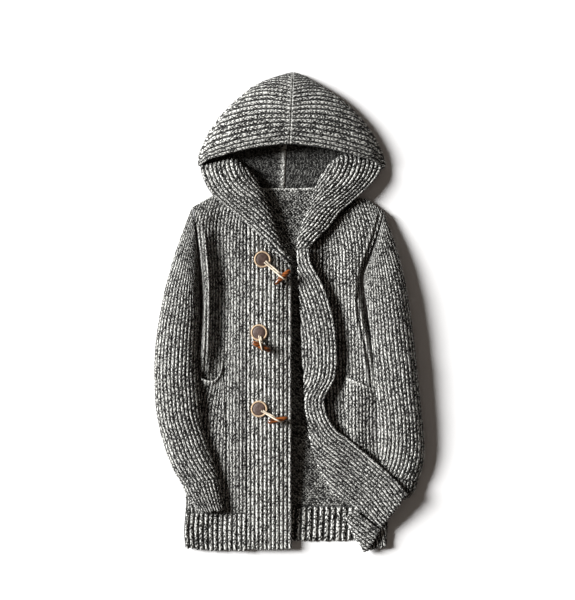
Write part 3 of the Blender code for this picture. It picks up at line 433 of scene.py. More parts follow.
def lengths(points, axis=0):
    """Distance of each point from the first one, along the lines of points on one axis."""
    sides = np.linalg.norm(np.diff(points, axis=axis), axis=-1)
    start = np.zeros_like(np.take(sides, [0], axis=axis))
    return np.concatenate([start, np.cumsum(sides, axis=axis)], axis=axis)


def level(plan, height):
    """Rows of plan points as knots that all lie at one height in millimetres."""
    return [[(x, y, height) for x, y in row] for row in plan]


def metres(rows):
    """Knots in metres, with x to the right, y up the page and the middle of the layout at zero."""
    rows = np.asarray(rows, float).copy()
    rows[..., 0] = (rows[..., 0] - MIDDLE_X) * STEP
    rows[..., 1] = (MIDDLE_Y - rows[..., 1]) * STEP
    rows[..., 2] /= 1000
    return rows


def spaced(line, at):
    """Points of a line at the given distances along it, straight between its own points."""
    along = lengths(line)
    return np.stack([np.interp(at, along, line[:, axis]) for axis in range(3)], axis=-1)


def even(points, count):
    """Points at equal distances on the smooth line through `points`."""
    along = lengths(points)
    fine = smooth(along, points, np.linspace(0, along[-1], FINE_POINTS))
    return spaced(fine, np.linspace(0, lengths(fine)[-1], count))


def surface(rows, along, across):
    """A grid of points, `along` rows by `across` columns, on the surface through the knots."""
    rows = metres(rows)
    sides = np.linalg.norm(np.diff(rows, axis=0), axis=-1).mean(axis=1)
    stations = np.concatenate([[0.0], np.cumsum(sides)])
    wanted = smooth(stations, rows, np.linspace(0, stations[-1], along))
    return np.stack([even(row, across) for row in wanted])


def fine_surface(rows, coarser=1.0):
    """The surface through the knots, as fine as the knit's mesh or `coarser` times as wide meshed."""
    knit = settings().knit
    draft = surface(rows, 30, 30)
    sizes = (lengths(draft, 0)[-1].max(), lengths(draft, 1)[:, -1].max())
    steps = (knit.mesh_along, knit.mesh_across)
    return surface(rows, *(math.ceil(size / step / coarser) + 1 for size, step in zip(sizes, steps)))


def normals(grid):
    """Unit normals of a grid of points whose rows run down the page and columns to the right."""
    found = np.cross(np.gradient(grid, axis=0), np.gradient(grid, axis=1))
    return found / np.maximum(np.linalg.norm(found, axis=-1, keepdims=True), 1e-12)


def lifted(grid, height):
    """The grid with a height in metres added to each point."""
    return grid + height[..., None] * UP


def wander(grid, seed, size):
    """A slow uneven swell over a piece, from about -1 to 1, with waves of about `size` metres."""
    draw = np.random.default_rng(seed)
    total = np.zeros(grid.shape[:2])
    for _ in range(7):
        direction = draw.uniform(0, 2 * np.pi)
        wave = 2 * np.pi / (size * draw.uniform(0.6, 1.7))
        phase = draw.uniform(0, 2 * np.pi)
        total += np.sin(wave * (grid[..., 0] * np.cos(direction) + grid[..., 1] * np.sin(direction)) + phase)
    return total / 4


def folds(grid, lines):
    """Height of soft creases, each (half width in mm, height in mm, plan points of its line)."""
    total = np.zeros(grid.shape[:2])
    for wide, high, points in lines:
        places = metres([(x, y, 0) for x, y in points])[:, :2]
        nearest = np.full(grid.shape[:2], np.inf)
        for start, end in zip(places, places[1:]):
            run = end - start
            place = grid[..., :2] - start
            share = np.clip((place @ run) / (run @ run), 0, 1)
            nearest = np.minimum(nearest, np.linalg.norm(place - share[..., None] * run, axis=-1))
        total += high / 1000 * bell(nearest, wide / 1000)
    return total


def beside(points, step):
    """The same plan line, moved to the right."""
    return [(x + step, y) for x, y in points]


def bell(distance, width):
    """1 at no distance, falling smoothly to nearly 0 at two widths."""
    return np.exp(-((distance / width) ** 2))


# ---------------------------------------------------------------- knit
def stitches(wale, course, purl):
    """Height of the knit's relief, from 0 in a valley to 1 on a rib."""
    off = np.abs(2 * (wale % 1) - 1)
    leg = (course - LEG_LEAN * off) % 1
    face = (0.5 + 0.5 * np.cos(np.pi * off)) ** 1.15 * (0.78 + 0.22 * np.sin(np.pi * leg) ** 0.7)
    bump = (2 * course + 0.22 * np.cos(2 * np.pi * wale)) % 1
    inside = 0.35 + 0.3 * np.sin(np.pi * bump) ** 0.7 + 0.1 * np.cos(2 * np.pi * wale)
    return face * (1 - purl) + inside * purl


def rounded(distance, radius):
    """Share of a wall's thickness at a distance from its edge, for an edge turned to a radius."""
    if not radius:
        return np.ones_like(distance)
    inward = 1 - np.clip(distance / radius, 0, 1)
    return np.sqrt(np.clip(1 - (inward * 0.97) ** 2, 0, 1))


def seam_shading(distance):
    """Share of the painted shade along a seam, at a distance from it."""
    return np.clip(1 - distance / SEAM_SHADE_WIDTH, 0, 1)


def thinned(count, step):
    """Indices of about every `step`th line of a grid, with the first and the last."""
    return np.unique(np.round(np.linspace(0, count - 1, max(2, round((count - 1) / step) + 1))).astype(int))


class Knit:
    """A cloth piece before it is a mesh: its middle surface and what lies on each face of it.

    `wale` and `course` count the stitches across and along. `purl` says for the upper and the under face
    whether the purl side shows. `edges` are the distances over which the wall is rounded off, and `seams`
    the edges that get a line of painted shade. `shade` is a share of painted shade, and `pale` a share of
    paler colour, which on the armhole welts, the left placket and the seam allowance inside the hood is
    painted light.
    """

    def __init__(self, middle, out=UP, half=None):
        knit = settings().knit
        plain = np.zeros(middle.shape[:2])
        self.middle = middle
        self.out = np.broadcast_to(out, middle.shape)
        self.half = plain + knit.wall / 2 if half is None else half
        self.across = lengths(middle, 1)
        self.along = lengths(middle, 0)
        self.wale = self.across / knit.wale
        self.course = (self.along[-1:] - self.along) / knit.course
        self.edges = dict.fromkeys(SIDES, ROUND_EDGE)
        self.seams = SIDES
        self.rib = knit.rib * PANEL_RIB
        self.purl = (0.0, 1.0)
        self.shade = self.pale = self.under_shade = self.under_pale = plain
        self.under_rib = 0.0
        self.under_step = 3
        self.under_place = None
        self.around = False

    def band(self, count=0, wale=0.0):
        """Ribbed strip: `count` ribs across it, or ribs `wale` wide, counted from its right side."""
        if count:
            self.wale = self.across / self.across[:, -1:] * count
        else:
            self.wale = 40 - (self.across[:, -1:] - self.across) / wale
        self.rib = settings().knit.rib
        return self

    def cast_off(self, seed, painted_shade=0.75, proud=1.25):
        """Lets each rib of a hem end by itself at the cast-off edge, with painted shade of the given share
        in the valleys between the ribs, and the ribs `proud` times as high."""
        reach = np.random.default_rng(seed).uniform(-0.0013, 0.0013, 90)
        end = self.middle[-1] - self.middle[-3]
        end /= np.linalg.norm(end, axis=-1, keepdims=True)
        out = 0.0030 * np.sin(np.pi * (self.wale % 1)) + reach[np.floor(self.wale).astype(int) % 90]
        near = np.clip(1 - (self.along[-1:] - self.along) / 0.02, 0, 1) ** 2
        self.middle = self.middle + end * (out * near)[..., None]
        # Painted shade in the valleys between the ribs.
        self.shade = painted_shade * np.clip((np.abs(2 * (self.wale % 1) - 1) - 0.4) / 0.3, 0, 1)
        self.rib = settings().knit.rib * proud
        return self

    def build(self, name, *nodes):
        """The piece as a closed wall, in place of its CAD nodes."""
        away = {
            "left": self.across,
            "right": self.across[:, -1:] - self.across,
            "start": self.along,
            "end": self.along[-1:] - self.along,
        }
        thin = np.ones(self.middle.shape[:2])
        # Painted shade along the seams, and on a tube along the line where its two sides meet.
        seam_shade = np.zeros(self.middle.shape[:2])
        for edge, radius in self.edges.items():
            thin = np.minimum(thin, rounded(away[edge], radius))
            if edge in self.seams and radius:
                seam_shade = np.maximum(seam_shade, seam_shading(away[edge]))
        raised = thin
        if self.around:
            seam = np.minimum(away["left"], away["right"])
            raised = thin * np.clip(seam / 0.003, 0, 1)
            seam_shade = np.maximum(seam_shade, seam_shading(seam))
        relief = stitches(self.wale, self.course, self.purl[0]) * self.rib * raised
        upper = self.middle + self.out * (self.half * thin + relief)[..., None]
        under_wale, under_course = self.under_place or (self.wale, self.course)
        relief = stitches(under_wale, under_course, self.purl[1]) * self.under_rib * thin
        lower = self.middle - self.out * (self.half * thin + relief)[..., None]
        for face in (upper, lower):
            face[..., 2] = np.maximum(face[..., 2], 0)
        pick = np.ix_(thinned(len(upper), self.under_step), thinned(upper.shape[1], self.under_step))
        under = (lower, under_wale, under_course, np.maximum(self.under_shade, seam_shade), self.under_pale)
        faces = [
            (upper, self.wale, self.course, np.maximum(self.shade, seam_shade), self.pale, self.purl[0]),
            (*(values[pick] for values in under), self.purl[1]),
        ]
        return shell(name, nodes, faces, self.around)


def between(outer, inner):
    """Cloth that fills the space between its outer and its inner face."""
    out = outer - inner
    thick = np.linalg.norm(out, axis=-1)
    return Knit((outer + inner) / 2, out / np.maximum(thick, 1e-9)[..., None], thick / 2)


def side_line(grid, first, side):
    """Vertex numbers along one side of a grid whose first vertex has the number `first`."""
    rows, columns = grid.shape[:2]
    number = np.arange(rows * columns).reshape(rows, columns) + first
    return {"start": number[0], "end": number[-1], "left": number[:, 0], "right": number[:, -1]}[side]


def shell(name, nodes, faces, around):
    """One closed wall between two grids, with the knit's coordinates and marks on its vertices."""
    work = bmesh.new()
    knit_layer = work.verts.layers.float_vector.new("knit")
    marks_layer = work.verts.layers.float_color.new("marks")
    firsts = []
    for points, wale, course, shade, pale, purl in faces:
        rows, columns = points.shape[:2]
        firsts.append(len(work.verts))
        bmesh.ops.create_grid(work, x_segments=columns - 1, y_segments=rows - 1, size=1)
        work.verts.ensure_lookup_table()
        values = np.stack([wale, course, shade, pale], axis=-1).reshape(-1, 4).tolist()
        places = points.reshape(-1, 3).tolist()
        for vert, place, (across, along, painted_shade, light) in zip(work.verts[firsts[-1]:], places, values):
            vert.co = place
            vert[knit_layer] = (across, along, purl)
            # Red holds the painted shade and green the paler colour, part of which is painted highlight.
            vert[marks_layer] = (painted_shade, light, 0, 1)
    edge_faces = []
    for side in ("start", "end") if around else ("start", "end", "left", "right"):
        edges = []
        for first, face in zip(firsts, faces):
            line = side_line(face[0], first, side)
            pairs = zip(line[:-1].tolist(), line[1:].tolist())
            edges += [work.edges.get((work.verts[a], work.verts[b])) for a, b in pairs]
        edge_faces += bmesh.ops.bridge_loops(work, edges=edges)["faces"]
    if around:
        numbers = [
            number
            for first, face in zip(firsts, faces)
            for side in ("left", "right")
            for number in side_line(face[0], first, side).tolist()
        ]
        work.verts.ensure_lookup_table()
        bmesh.ops.remove_doubles(work, verts=[work.verts[number] for number in numbers], dist=2e-5)
    bmesh.ops.recalc_face_normals(work, faces=work.faces)
    flat = {face for face in edge_faces if face.is_valid}
    return finished(name, work, knit_material(), nodes, flat)


def finished(name, work, finish, nodes=(), flat=()):
    """Turns a bmesh into a piece of the cardigan, smooth but for its `flat` faces, in place of `nodes`."""
    for face in work.faces:
        face.smooth = face not in flat
    mesh = bpy.data.meshes.new(name)
    work.to_mesh(mesh)
    work.free()
    mesh.materials.append(finish)
    piece = bpy.data.objects.new(name, mesh)
    bpy.context.scene.collection.objects.link(piece)
    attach(piece, "root")
    if nodes:
        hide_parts(*nodes)
    return piece


# ---------------------------------------------------------------- panels and bands
def flat_panel(rows, swell=0.0, seed=1, lines=(), coarser=1.0):
    """A panel that lies face up, with an uneven swell and soft creases in its height."""
    middle = fine_surface(rows, coarser)
    inside = np.minimum(lengths(middle, 1), lengths(middle[:, ::-1], 1)[:, ::-1]) / 0.02
    middle[..., 2] += wander(middle, seed, 0.09) * swell / 1000 * np.clip(inside, 0, 1)
    middle[..., 2] += folds(middle, lines) * np.clip(3 * inside, 0, 1)
    return Knit(middle)


def welts(edge, heights, steps):
    """Two raised lines beside an armhole, with a trough between them, as creases for `folds`."""
    return [(wide, high, beside(edge, step)) for wide, high, step in zip(WELT_WIDTHS, heights, steps)]


def welt_highlights(grid, edge, step):
    """Share of painted highlight on the two raised lines beside an armhole."""
    return folds(grid, [(4.0, 400, edge), (3.4, 300, beside(edge, step))]).clip(0, 1)


def make_back():
    """The back panel and its hem rib."""
    rows = level(BACK, BACK_HEIGHT)
    rows[0] = [(x, y - NECK_REACH, high) for x, y, high in rows[0]]
    knit = flat_panel(rows, coarser=1.25)
    knit.wale = (knit.across - knit.across[:, -1:] / 2) / settings().knit.wale
    knit.purl = (1.0, 0.0)
    knit.rib = 0.0010
    neck = bell(knit.along, SEAM_WELT)
    knit.middle = lifted(knit.middle, 0.0017 * neck)
    knit.pale = 0.9 * neck
    knit.seams = ("left", "right", "end")
    knit.edges["start"] = BUTTED_EDGE
    piece = knit.build("back_panel", "back")
    hem = Knit(fine_surface(level(HEM_BACK, BACK_HEIGHT))).band(35).cast_off(41)
    hem.seams = ("start",)
    piece = hem.build("back_hem_rib", "hem_back")


def make_front_left():
    """The front that lies face up, with its hem rib and its placket band."""
    lines = welts(ARMHOLE_LEFT, (3.2, -1.4, 2.2), (0, 2.6, 5.0)) + CREASES_LEFT
    knit = flat_panel(FRONT_LEFT, 0.7, 3, lines)
    to_placket = knit.across[:, -1:] - knit.across
    knit.wale = -to_placket / settings().knit.wale
    # Painted highlight on the raised lines beside the armhole.
    knit.pale = welt_highlights(knit.middle, ARMHOLE_LEFT, 5.0)
    plan_y = MIDDLE_Y - knit.middle[..., 1] / STEP
    # Painted shade over the whole panel, more along the placket seam and fading out lower down, and none on
    # the welts' painted highlight.
    seam = bell(to_placket, 0.0046) * np.clip((480 - plan_y) / 40, 0.3, 1)
    knit.shade = np.maximum(seam, 0.28) * (1 - knit.pale)
    knit.seams = ("end",)
    piece = knit.build("front_left_panel", "front_left")
    hem = Knit(fine_surface(HEM_LEFT)).band(13).cast_off(42)
    hem.seams = ("start",)
    piece = hem.build("front_left_hem_rib", "hem_left")
    band = Knit(fine_surface(PLACKET_LEFT)).band(11)
    band.seams = ("left", "start")
    # Painted light: the placket band is made paler than the panel beside it.
    band.pale = band.pale + 0.16
    band.under_rib = band.rib * 0.6
    piece = band.build("placket_left_band", "placket_left")


def make_front_right():
    """The front that is turned open, with its placket band and its hem rib turned over."""
    lines = welts(ARMHOLE_RIGHT, (3.8, -2.0, 2.4), (0, -3.0, -5.8)) + CREASES_RIGHT
    knit = flat_panel(FRONT_RIGHT, 0.7, 5, lines)
    # Painted highlight on the raised lines beside the armhole.
    knit.pale = welt_highlights(knit.middle, ARMHOLE_RIGHT, -5.8)
    knit.seams = ("end",)
    piece = knit.build("front_right_panel", "front_right")
    for name, node, rows, seed in (
        ("placket_right_band", "placket_right", PLACKET_RIGHT_TURNED, 18),
        ("front_right_hem_rib", "hem_right", HEM_RIGHT_TURNED, 19),
    ):
        middle = fine_surface(rows)
        band = Knit(middle, normals(middle)).band(wale=settings().knit.turned_wale)
        band.cast_off(seed, painted_shade=0, proud=1)
        band.seams = ()
        band.edges["start"] = BUTTED_EDGE
        band.under_rib = band.rib
        band.purl = (0.0, 0.0)
        band.under_step = 2
        piece = band.build(name, node)


# ---------------------------------------------------------------- sleeves
def ring_sections(rows, inset):
    """Fine rings of points along a sleeve, `inset` metres inside its outer face. Each ring starts at the
    inner boundary, passes below to the outline and comes back over the top."""
    rows = np.asarray(rows, float)
    outline = metres(rows[:, [0, 1, 6]])
    inside = metres(rows[:, [2, 3, 7]])
    stations = lengths((outline + inside) / 2)
    at = np.linspace(0, stations[-1], math.ceil(stations[-1] / settings().knit.mesh_along) + 1)
    outline = smooth(stations, outline, at)
    inside = smooth(stations, inside, at)
    bow, crest, rest, climb = smooth(stations, rows[:, [4, 5, 8, 9]], at).T
    angle = np.linspace(-np.pi, np.pi, 161)
    over = np.clip(np.sin(angle), 0, 1) ** 0.9
    below = np.clip(-np.sin(angle), 0, 1) ** 0.5
    found = []
    for first, last, bend, top, low, climbed in zip(outline, inside, bow, crest / 1000, rest / 1000, climb):
        chord = last - first
        width = np.linalg.norm(chord[:2])
        start = inset * 1.15 / width
        share = start + (1 - 2 * start) * (1 - np.cos(angle)) / 2
        ring = first + share[:, None] * chord
        square = np.array([-chord[1], chord[0]]) / width
        ring[:, :2] += 4 * (share * (1 - share) * bend * STEP)[:, None] * square
        edge = ring[:, 2].copy()
        ground = low * np.clip((share - climbed) / 0.2 + 1, 0, 1)
        up = edge + (top - inset - edge) * over
        down = edge - np.maximum(edge - ground - inset - 0.0002, 0.0003) * below
        ring[:, 2] = np.where(angle >= 0, up, down)
        found.append(ring)
    return np.stack(found)


def evened(rings, counts):
    """Rings with even steps, counted below from the inner boundary to the outline and above back to it."""
    half = rings.shape[1] // 2
    found = []
    for ring in rings:
        parts = [
            spaced(line, np.linspace(0, lengths(line)[-1], count + 1))
            for line, count in zip((ring[: half + 1], ring[half:]), counts)
        ]
        found.append(np.concatenate([parts[0], parts[1][1:]]))
    return np.stack(found)


def sleeve_knit(rows, seed, ribs=0):
    """A tube of cloth that lies on its side, with columns of stitches or with `ribs` all round its top."""
    knit = settings().knit
    outer = ring_sections(rows, 0.0)
    inner = ring_sections(rows, knit.wall)
    half = outer.shape[1] // 2
    counts = [
        math.ceil(lengths(part, 1)[:, -1].max() / knit.mesh_across)
        for part in (outer[:, : half + 1], outer[:, half:])
    ]
    outer = evened(outer, counts)
    inner = evened(inner, counts)
    below, above = counts
    top = np.zeros(outer.shape[1])
    top[below:] = np.sin(np.linspace(0, np.pi, above + 1)) ** 0.7
    lift = wander(outer, seed, 0.07) * 0.0009 * top
    cloth = between(lifted(outer, lift), lifted(inner, lift))
    from_outline = cloth.across - cloth.across[:, below : below + 1]
    cloth.wale = from_outline / knit.sleeve_wale
    if ribs:
        cloth.wale = from_outline / from_outline[:, -1:] * ribs
    cloth.edges.update(left=0, right=0)
    cloth.around = True
    return cloth


def make_sleeves():
    """Both sleeves and their cuff ribs."""
    for side, rows, cuff_rows, seed in (
        ("left", SLEEVE_LEFT, CUFF_LEFT, 11),
        ("right", SLEEVE_RIGHT, CUFF_RIGHT, 12),
    ):
        knit = sleeve_knit(rows, seed)
        piece = knit.build(f"sleeve_{side}_tube", f"sleeve_{side}_upper", f"sleeve_{side}_lower")
        cuff = sleeve_knit(rows[-1:] + cuff_rows[1:], seed + 20, ribs=12)
        cuff.cast_off(seed, proud=1)
        cuff.seams = ("start",)
        piece = cuff.build(f"cuff_{side}_rib", f"cuff_{side}")


# ---------------------------------------------------------------- hood
def hood_sections(side, inset):
    """Fine sections of half the hood, from the centre seam over the outline to the centre seam below. They
    lie `inset` millimetres inside its outer face."""
    rows = np.asarray(HOOD, float)[:, [0, 1, 4, 5, 6] if side < 0 else [2, 3, 4, 5, 6]]
    stations = lengths(rows[:, :2])
    at = np.linspace(0, stations[-1], HOOD_COLUMNS)
    outline_x, outline_y, upper_y, ridge, lower_y = smooth(stations, rows, at).T
    seam_x = HOOD_SEAM_X + HOOD_SEAM_LEAN * (rows[0, 2] - upper_y) + side * GAP
    lower_x = seam_x - 4.5 * np.clip((lower_y - 78) / 60, 0, 1)
    pull = inset / (STEP * 1000)
    found = []
    for share in (0, 0.16, 0.34, 0.54, 0.74, 0.9):
        x = seam_x + (outline_x - seam_x) * share
        y = upper_y + (outline_y - upper_y) * (0.35 * share + 0.65 * share**2.2)
        found.append((x, y, 9 - inset + (ridge - 9) * (1 - share**2.4) ** 0.62))
    rim = ((0.98, 0.9, 0.6, 8.9 - inset), (1, 0.2, 1, 4.4), (0.98, 0.9, 0.6, inset))
    for share, drop, pulled, height in rim:
        x = seam_x + (outline_x - seam_x) * share - side * pull * pulled
        found.append((x, outline_y + drop + pull * 0.5, height))
    for share in (0.85, 0.6, 0.3, 0):
        x = lower_x + (outline_x - lower_x) * share
        found.append((x, lower_y + (outline_y - lower_y) * share**3, inset))
    knots = metres(np.stack([np.stack(np.broadcast_arrays(*knot), axis=-1) for knot in found]))
    return np.stack([even(knots[:, column], HOOD_POINTS) for column in range(HOOD_COLUMNS)], axis=1)


def hood_half(side):
    """Half the hood, to the left (side -1) or to the right (side 1) of its centre seam."""
    knit = settings().knit
    left = side < 0
    cloth = between(hood_sections(side, 0), hood_sections(side, knit.wall * 1000))
    ribs = cloth.across[HOOD_POINTS // 5] / knit.hood_wale
    near_crown = np.clip((ribs - 3) / 12, 0, 1)
    cloth.wale = ribs - 4.2 * (1 - np.exp(-cloth.along / 0.06)) * near_crown
    cloth.course = cloth.along / knit.course
    cloth.under_place = (cloth.along / knit.wale, cloth.across / knit.course)
    cloth.rib = knit.rib
    upper = bell(cloth.along, SEAM_WELT)
    # Inside the hood the seam's allowance lies to the left, raised and painted light, and painted shade
    # makes a shadow line to the right of it. The rest of the hood's inside gets painted shade.
    lower = np.exp(-(((cloth.along[-1:] - cloth.along) / (0.0120 if left else 0.0016)) ** 6))
    cloth.middle = lifted(cloth.middle, 0.0016 * upper + 0.0005 * lower * left)
    cloth.half = cloth.half + 0.0005 * lower * left
    cloth.pale = 0.4 * upper
    cloth.under_pale = 0.95 * lower * left
    cloth.under_shade = np.maximum(0.72 * (1 - lower), 0.9 * lower * (not left))
    cloth.seams = ()
    cloth.edges.update(start=0.0009, end=0)
    return cloth


def make_hood():
    """Both halves of the hood and the turned edge of each."""
    for name, side, turned in (("left", -1, TURNBACK_LEFT), ("right", 1, TURNBACK_RIGHT)):
        knit = hood_half(side)
        piece = knit.build(f"hood_{name}_half", f"hood_{name}")
        middle = fine_surface(turned)
        out = normals(middle)
        edge = Knit(middle, out if out[..., 2].mean() > 0 else -out).band(wale=settings().knit.hood_wale)
        edge.under_rib = edge.rib
        edge.purl = (0.0, 0.0)
        edge.seams = ()
        piece = edge.build(f"hood_{name}_turned_edge", f"hood_{name}")


# ---------------------------------------------------------------- pockets
def height_on(grid, x, y):
    """Height of a panel's middle surface at points of the plan, between its rows and columns."""
    down = np.stack([np.interp(x, row[:, 0], row[:, 1]) for row in grid])
    high = np.stack([np.interp(x, row[:, 0], row[:, 2]) for row in grid])
    return np.array([np.interp(-y[at], -down[:, at], high[:, at]) for at in range(len(x))])


def make_pockets():
    """Both patch pockets, which follow the panels below them."""
    for side, plan, panel in (("left", POCKET_LEFT, FRONT_LEFT), ("right", POCKET_RIGHT, FRONT_RIGHT)):
        middle = fine_surface(level(plan, 0))
        flat = middle.reshape(-1, 3)
        flat[:, 2] = height_on(surface(panel, 60, 40), flat[:, 0], flat[:, 1]) + POCKET_HEIGHT
        knit = Knit(flat.reshape(middle.shape))
        share = knit.across / knit.across[:, -1:]
        sewn = (share if side == "left" else 1 - share) ** 4
        lip = bell(knit.along, 0.009)
        knit.middle = lifted(knit.middle, 0.0046 * lip * (1 - sewn) - 0.0026 * sewn)
        knit.pale = bell(knit.along, 0.0056)
        knit.seams = ("end",)
        piece = knit.build(f"pocket_{side}_patch", f"pocket_{side}")


# ---------------------------------------------------------------- toggles
def rope(path, radius, around=14, lay=0.009):
    """A round cord of twisted strands along a path, closed at both ends, as a bmesh and its middle line."""
    path = np.asarray(path, float)
    line = even(path, math.ceil(lengths(path)[-1] / ROPE_STEP) + 1)
    along = lengths(line)
    forward = np.gradient(line, axis=0)
    forward /= np.linalg.norm(forward, axis=1, keepdims=True)
    first = np.cross(forward[0], UP)
    angle = np.linspace(0, 2 * np.pi, around + 1)
    work = bmesh.new()
    knit_layer = work.verts.layers.float_vector.new("knit")
    bmesh.ops.create_grid(work, x_segments=around, y_segments=len(line) - 1, size=1)
    work.verts.ensure_lookup_table()
    for row, (place, direction) in enumerate(zip(line, forward)):
        first = first - direction * (first @ direction)
        first /= np.linalg.norm(first)
        second = np.cross(direction, first)
        phase = STRANDS * (angle - 2 * np.pi * along[row] / lay)
        wide = radius * (0.86 + 0.14 * np.abs(np.cos(phase / 2)))
        ring = place + wide[:, None] * (np.cos(angle)[:, None] * first + np.sin(angle)[:, None] * second)
        for column, point in enumerate(ring.tolist()):
            vert = work.verts[row * (around + 1) + column]
            vert.co = point
            vert[knit_layer] = (phase[column] / (2 * np.pi), along[row] / lay, 0)
    bmesh.ops.remove_doubles(work, verts=work.verts, dist=radius * 0.02)
    bmesh.ops.holes_fill(work, edges=[edge for edge in work.edges if edge.is_boundary])
    bmesh.ops.recalc_face_normals(work, faces=work.faces)
    return work, line


def placket_height(x, y):
    """Height of the ribs' crests on the left placket at one grid point, in metres."""
    place = metres([(x, y, 0)])
    knit = settings().knit
    found = height_on(surface(PLACKET_LEFT, 60, 30), place[:, 0], place[:, 1])
    return float(found[0]) + knit.wall / 2 + knit.rib


def spun(profile, steps):
    """A closed body of revolution around Z from a profile of (radius, height) that starts and ends at Z."""
    work = bmesh.new()
    verts = [work.verts.new((radius, 0, height)) for radius, height in profile]
    edges = [work.edges.new(pair) for pair in zip(verts, verts[1:])]
    full = {"cent": (0, 0, 0), "axis": (0, 0, 1), "angle": 2 * math.pi, "use_merge": True}
    bmesh.ops.spin(work, geom=verts + edges, steps=steps, **full)
    bmesh.ops.remove_doubles(work, verts=work.verts, dist=1e-6)
    bmesh.ops.recalc_face_normals(work, faces=work.faces)
    return work


def make_disc(number, lean):
    """A leather disc and the thread around it, moved into place by the matrix `lean`."""
    sizes = settings().toggles
    work = spun([(share * sizes.disc, height) for share, height in DISC_PROFILE], 56)
    work.transform(lean)
    finished(f"disc_{number}", work, leather_material(), (f"patch_{number}",))
    angle = np.linspace(0, 2 * np.pi, 49)
    radius = sizes.disc + sizes.edging * 0.32
    ring = np.column_stack([np.cos(angle) * radius, np.sin(angle) * radius, np.full(49, 0.0014)])
    work, _ = rope(ring, sizes.edging / 2, around=12, lay=0.012)
    work.transform(lean)
    finished(f"disc_{number}_edging", work, thread_material())


def make_horn(number, ends):
    """A horn toggle from one end to the other."""
    sizes = settings().toggles
    profile = [(-share, wide) for share, wide in HORN_PROFILE[:0:-1]] + HORN_PROFILE
    work = spun([(wide * sizes.width / 2, share * sizes.length / 2) for share, wide in profile], 28)
    turn = Vector(ends[1] - ends[0]).to_track_quat("Z", "Y").to_matrix().to_4x4()
    work.transform(Matrix.Translation(Vector(ends.mean(axis=0))) @ turn)
    finished(f"horn_toggle_{number}", work, horn_material(), (f"toggle_{number}",))


def make_cord(number, base, ends):
    """A toggle's cord. It leaves the disc, passes round the toggle's middle and comes back beside itself."""
    sizes = settings().toggles
    middle = ends.mean(axis=0)
    bar = (ends[1] - ends[0]) / np.linalg.norm(ends[1] - ends[0])
    away = (middle - base) * (1, 1, 0)
    away /= np.linalg.norm(away)
    aside = bar * sizes.cord * 0.62
    loop = sizes.width / 2 + sizes.cord / 2 + 0.0002
    start = base + away * sizes.disc * 0.5 + UP * (0.0033 + sizes.cord * 0.42)
    edge = base + away * (sizes.disc + 0.004) + UP * (0.0030 + sizes.cord * 0.5)
    knots = [start + aside, (start + edge) / 2 + aside + UP * 0.0006, edge + aside]
    for step, degrees in enumerate(LOOP_DEGREES):
        turn = math.radians(degrees)
        arm = away * math.cos(turn) + UP * math.sin(turn)
        knots.append(middle + arm * loop + aside * (1 - 2 * step / (len(LOOP_DEGREES) - 1)))
    knots += [middle - away * (loop + 0.002) + UP * 0.004 - aside, edge - aside, start - aside]
    work, line = rope(knots, sizes.cord / 2)
    piece = finished(f"cord_{number}", work, cord_material(), (f"toggle_cord_{number}",))


def make_toggles():
    """The discs, the toggles and their cords, on the crests of the placket's ribs."""
    sizes = settings().toggles
    for number, (disc_x, disc_y, x1, y1, x2, y2) in enumerate(TOGGLES, 1):
        base = metres([(disc_x, disc_y, 0)])[0]
        base[2] = placket_height(disc_x, disc_y)
        tilt = placket_height(disc_x + 5, disc_y) - placket_height(disc_x - 5, disc_y)
        lean = Matrix.Translation(Vector(base)) @ Matrix.Rotation(-math.atan2(tilt, 10 * STEP), 4, "Y")
        make_disc(number, lean)
        ends = metres([(x1, y1, 0), (x2, y2, 0)])
        top = placket_height(min((x1 + x2) / 2, 286), (y1 + y2) / 2)
        ends[:, 2] = top + sizes.width / 2 + sizes.cord + 0.0004
        make_horn(number, ends)
        make_cord(number, base, ends)


